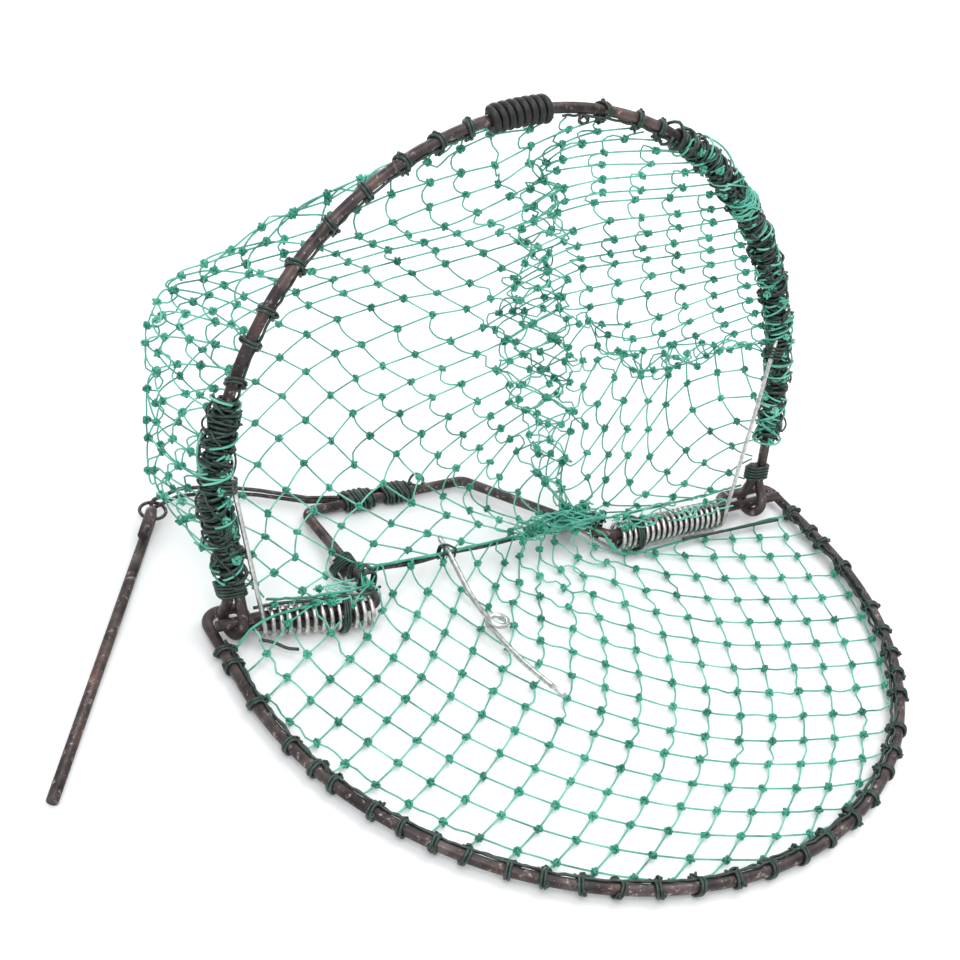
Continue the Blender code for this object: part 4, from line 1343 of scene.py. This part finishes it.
def pleated(x, d):
    """The bag's pleat and swag: each knot's place across and up the hoop, its depth, and how firmly it's held."""
    line = np.array(PLEAT) * MM
    middle = np.interp(d, line[::-1, 1], line[::-1, 0]) - HOOP_CENTRE_X
    width = np.interp(d, *np.array(PLEAT_WIDTHS).T * MM)
    x, layer, in_pleat = tucked(x, middle, -HOOP_RADIUS, HOOP_RADIUS, width, BAG_WIDE)
    depth = BAG_START_DEPTH + layer * PLEAT_LIFT
    line = np.array(SWAG) * MM
    middle = np.interp(x + HOOP_CENTRE_X, line[:, 0], line[:, 1])
    low, layer, in_swag = tucked(d, middle, 0, HOOP_TOP, SWAG_WIDTH, BAG_TALL)
    right = x + HOOP_CENTRE_X > line[0, 0]
    d = np.where(right, low, d)
    in_swag &= right & ~in_pleat
    return x, d, depth + in_swag * layer * PLEAT_LIFT, PLEAT_HOLD * in_pleat + SWAG_HOLD * in_swag


def hang_bag():
    seam = bag_seam()
    way = seam - AXLE
    flat = np.stack([(way[:, 0] - HOOP_CENTRE_X) * BAG_WIDE, way @ AWAY * BAG_TALL], 1)
    width = 2 * HOOP_RADIUS
    flat[:, 1] *= 1 + BAG_TILT * (0.5 - flat[:, 0] / BAG_WIDE / width)
    knots, bars, lengths, ways, ends = lattice(flat, BAG_TURN, MESH)
    x = knots[:, 0] / BAG_WIDE
    d = knots[:, 1] / BAG_TALL / (1 + BAG_TILT * (0.5 - x / width))
    x, d, depth, hold = pleated(x, d)
    start = AXLE + np.outer(x + HOOP_CENTRE_X, (1, 0, 0)) + np.outer(d, AWAY) + np.outer(depth, BACK)
    pinned = np.array([end for end, _ in ends])
    shares = np.interp([share for _, share in ends], *gathered(seam, BAG_FULLNESS))
    start[pinned] = point_on(outline_table(seam), shares)
    lengths *= rng.normal(1, BAG_UNEVEN, len(lengths))
    at, chains = settle(start, pinned, bars, lengths, ways, BAG_PULL, BAG_STEPS, confine_bag, bulge, hold)
    return np.delete(at, pinned, 0), chains


def floor_seam():
    """The line that the floor net is tied to: round the base hoop and back along the axle."""
    ring = [
        (
            (BASE_RADIUS - SEAM_INSET) * math.cos(math.radians(degrees)),
            -BASE_SIDE - (BASE_RADIUS - SEAM_INSET) * math.sin(math.radians(degrees)),
            BASE_Z,
        )
        for degrees in range(0, 181, 4)
    ]
    return np.concatenate([ring, np.array(FLOOR_SEAM_ON_AXLE) * MM])


def bent_line(headings):
    """A line that turns as it goes: marks along it, its place at each, and its heading there in radians."""
    marks, degrees = np.array(headings, float).T
    along = np.arange(marks[0], marks[-1] + 0.5) * MM
    heading = np.radians(np.interp(along / MM, marks, degrees))
    steps = np.stack([np.cos(heading), np.sin(heading)], 1) * MM
    places = np.cumsum(steps, 0)
    return along, places - [np.interp(0, along, places[:, 0]), np.interp(0, along, places[:, 1])], heading


def stretched(knots, lines):
    """Where the stretched floor net's knots lie: every row is the same bent line, moved along a bent column."""
    place = np.tile(FLOOR_CORNER, (len(knots), 1))
    for share, (along, places, _) in zip(knots.T, lines):
        place += np.stack([np.interp(share, along, places[:, 0]), np.interp(share, along, places[:, 1])], 1)
    return place


def unstretched(places, lines):
    """The flat net's spot for each place of the stretched one, by repeated correction."""
    flat = np.full(places.shape, 60 * MM)
    for _ in range(CORRECTIONS):
        gap = places - stretched(flat, lines)
        row, column = (np.interp(share, along, heading) for share, (along, _, heading) in zip(flat.T, lines))
        lean = np.sin(column - row)
        flat[:, 0] += CORRECTION * (gap[:, 0] * np.sin(column) - gap[:, 1] * np.cos(column)) / lean
        flat[:, 1] += CORRECTION * (np.cos(row) * gap[:, 1] - np.sin(row) * gap[:, 0]) / lean
    return flat


def hang_floor():
    seam = floor_seam()
    lines = bent_line(FLOOR_ROWS), bent_line(FLOOR_COLUMNS)
    edge = seam[:, :2].copy()
    on_axle = seam[:, 1] > -15 * MM
    away = seam[:, 0] - BUNCH_X
    edge[:, 0] += BUNCH_GATHER * away * np.exp(-((away / BUNCH_REACH) ** 2)) * on_axle
    edge[:, 1] += FLOOR_SLACK * np.exp(-((away / BUNCH_WIDTH) ** 2)) * on_axle
    flat = unstretched(edge, lines) * FLOOR_EASE
    knots, bars, lengths, ways, ends = lattice(flat, 0.0, MESH)
    pinned = np.array([end for end, _ in ends])
    plan = stretched(knots / FLOOR_EASE, lines)
    near = np.clip((plan[:, 1] + 60 * MM) / (65 * MM), 0, 1)
    start = np.column_stack([plan, BASE_Z + near**2 * (CROSS_Z - BASE_Z)])
    shares = np.interp([share for _, share in ends], outline_table(flat)[1], outline_table(seam)[1])
    start[pinned] = point_on(outline_table(seam), shares)
    at, chains = settle(start, pinned, bars, lengths, ways, FLOOR_PULL, FLOOR_STEPS, confine_floor)
    return np.delete(at, pinned, 0), chains


def confine_bag(at):
    """Keeps the bag above the ground, and no deeper behind the hoop than it hangs at that place across."""
    at[:, 2] = np.maximum(at[:, 2], GROUND)
    at[:, 0] = np.maximum(at[:, 0], BAG_LEFTMOST)
    depth = (at - AXLE) @ BACK
    across = np.interp(at[:, 0], *BAG_DEEPEST_ACROSS.T)
    up = np.interp((at - AXLE) @ AWAY, *BAG_DEEPEST_UP.T)
    at -= np.outer(np.maximum(0, depth - np.minimum(across, up)), BACK)


def confine_floor(at):
    """Keeps the floor net above the ground, and over the left coil and the cross wire."""
    over_coil = np.exp(-(((at[:, 1] + 4 * MM) / (7 * MM)) ** 2)) * (at[:, 0] < LEFT_COIL[1].x + 3 * MM)
    over_wire = np.exp(-(((at[:, 1] - CROSS_Y) / (4 * MM)) ** 2)) * (at[:, 0] > LEFT_COIL[1].x) * (at[:, 0] < 34 * MM)
    lowest = GROUND + np.maximum(over_coil, over_wire) * (COIL_Z + COIL_RADIUS + 0.6 * MM)
    at[:, 2] = np.maximum(at[:, 2], lowest)


def strewn(places):
    """Loose lengths of twine lying together along a line, and the knots among them: (middle, spread, reach, count)."""
    lengths, knots = [], []
    for (x_from, x_to), middle, spread, count in places:
        for _ in range(count):
            begin = rng.uniform(x_from, x_to - 8)
            end = min(begin + rng.uniform(10, 24), x_to)
            wander = np.cumsum(rng.normal(0, STREWN_WANDER, (STREWN_POINTS, 2)), 0)
            x = np.linspace(begin, end, STREWN_POINTS)
            across = np.clip(rng.normal(0, 0.55, 2) + wander, -1, 1) * spread
            lengths.append(np.column_stack([x, across + middle]) * MM)
        for _ in range(count // 2):
            offset = rng.uniform(-1, 1, 2) * spread
            knots.append(np.array([rng.uniform(x_from, x_to), *(offset + middle)]) * MM)
    return softened(lengths, 2), knots


def net_piece(name, knots, chains, hem, loose, twine, knot, body, stands_for):
    bars = strands(softened(chains, 2), TWINE / 2, 5)
    ties = lumps(knots, KNOT_SIZE, 1.0 * MM)
    hem = softened([np.array(hem) * MM], 8)[0]
    hem += rng.normal(0, 0.12 * MM, hem.shape)
    edges = [tube(hem, 0.95 * MM, 6), tube(hem + np.array([0, 0.5, -0.7]) * MM, TWINE, 5)]
    extra = []
    if loose:
        lengths, centres = strewn(loose)
        extra = [strands(lengths, TWINE / 2, 5), lumps(centres, KNOT_SIZE, 1.0 * MM)]
    return piece(name, [bars, ties] + edges + extra, [twine, knot, knot, twine, twine, knot][: 4 + len(extra)], body, stands_for)


def build_nets(twine, knot):
    knots, chains = hang_floor()
    net = net_piece("floor_net_twine", knots, chains, FLOOR_SEAM_ON_AXLE, STREWN, twine, knot, "base", ["floor_net"])
    knots, chains = hang_bag()
    net = net_piece("bag_net_twine", knots, chains, BAG_SEAM_ON_AXLE, (), twine, knot, None, ["bag_net"])
    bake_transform(net)



BAG_FULLNESS = (
    (hoop_spot(110 * MM, 14 * MM), 2.2),
    (hoop_to_world(hoop_point(math.radians(62))), 1.2),
    (hoop_to_world(hoop_point(math.radians(84))), 1.0),
    (hoop_to_world(hoop_point(math.radians(93))), 4.0),
    (hoop_to_world(hoop_point(math.radians(101))), 1.0),
    (hoop_to_world(hoop_point(math.radians(150))), 2.6),
    (hoop_spot(-115 * MM, 14 * MM), 1.0),
    (Vector((-70, 6.3, 12.3)) * MM, 0.9),
    (Vector((2, 6.3, 12.3)) * MM, 4.0),
    (Vector((38, 5, 12.4)) * MM, 1.2),
)


def build_stage():
    side = 6.0
    mesh = bpy.data.meshes.new("floor")
    corners = [(-side, -side, 0), (side, -side, 0), (side, side, 0), (-side, side, 0)]
    mesh.from_pydata([(x, y, -0.2 * MM) for x, y, _ in corners], [], [(0, 1, 2, 3)])
    floor = bpy.data.objects.new("floor", mesh)
    bpy.context.scene.collection.objects.link(floor)
    pale = Finish("pale_floor", 0.75)
    pale.colour(pale.ramp(pale.noise(3), [(0.3, (0.86, 0.865, 0.87)), (0.7, (0.89, 0.89, 0.89))]))
    pale.shader.inputs["Specular IOR Level"].default_value = 0.1
    mesh.materials.append(pale.material)

    world = bpy.data.worlds.new("studio")
    world.use_nodes = True
    sky = world.node_tree.nodes["Background"]
    sky.inputs["Color"].default_value = (0.97, 0.985, 1.0, 1)
    sky.inputs["Strength"].default_value = WORLD_STRENGTH
    bpy.context.scene.world = world
    for name, place, size, watts in LIGHTS:
        data = bpy.data.lights.new(name, "AREA")
        data.size = size
        data.energy = watts
        lamp = bpy.data.objects.new(name, data)
        lamp.location = place
        lamp.rotation_mode = "QUATERNION"
        lamp.rotation_quaternion = (Vector(LIGHTS_AIM) - Vector(place)).to_track_quat("-Z", "Y")
        bpy.context.scene.collection.objects.link(lamp)
    bpy.context.scene.view_settings.view_transform = "Standard"


def build_camera():
    """The photograph's viewpoint: above the front left of the trap, looking down on the axle."""
    data = bpy.data.cameras.new("photograph")
    data.lens = CAMERA_LENS
    data.sensor_width = 36.0
    data.clip_start, data.clip_end = 0.02, 30.0
    camera = bpy.data.objects.new("photograph", data)
    right, down, view = (Vector(row) for row in CAMERA_ROWS)
    turn = Matrix((right, -down, -view)).transposed()
    camera.matrix_world = Matrix.Translation(Vector(CAMERA_PLACE)) @ turn.to_4x4()
    bpy.context.scene.collection.objects.link(camera)
    bpy.context.scene.camera = camera


build_camera()
build_stage()
steel, bright, dark = rusted_steel(), bright_wire(), dark_wire()
cord, rubber = dark_cord(), black_sleeve()
twine = net_twine("net_twine", (0.030, 0.22, 0.155), (0.10, 0.44, 0.33), (0.24, 0.62, 0.50))
knot = net_twine("net_knot", (0.012, 0.15, 0.10), (0.035, 0.30, 0.205), (0.09, 0.46, 0.34))
build_rods(steel, bright, dark, rubber)
build_base_cords(cord)
build_hoop_cords(cord, twine)
build_trigger_ties(cord)
build_hoop_ties(cord)
build_nets(twine, knot)
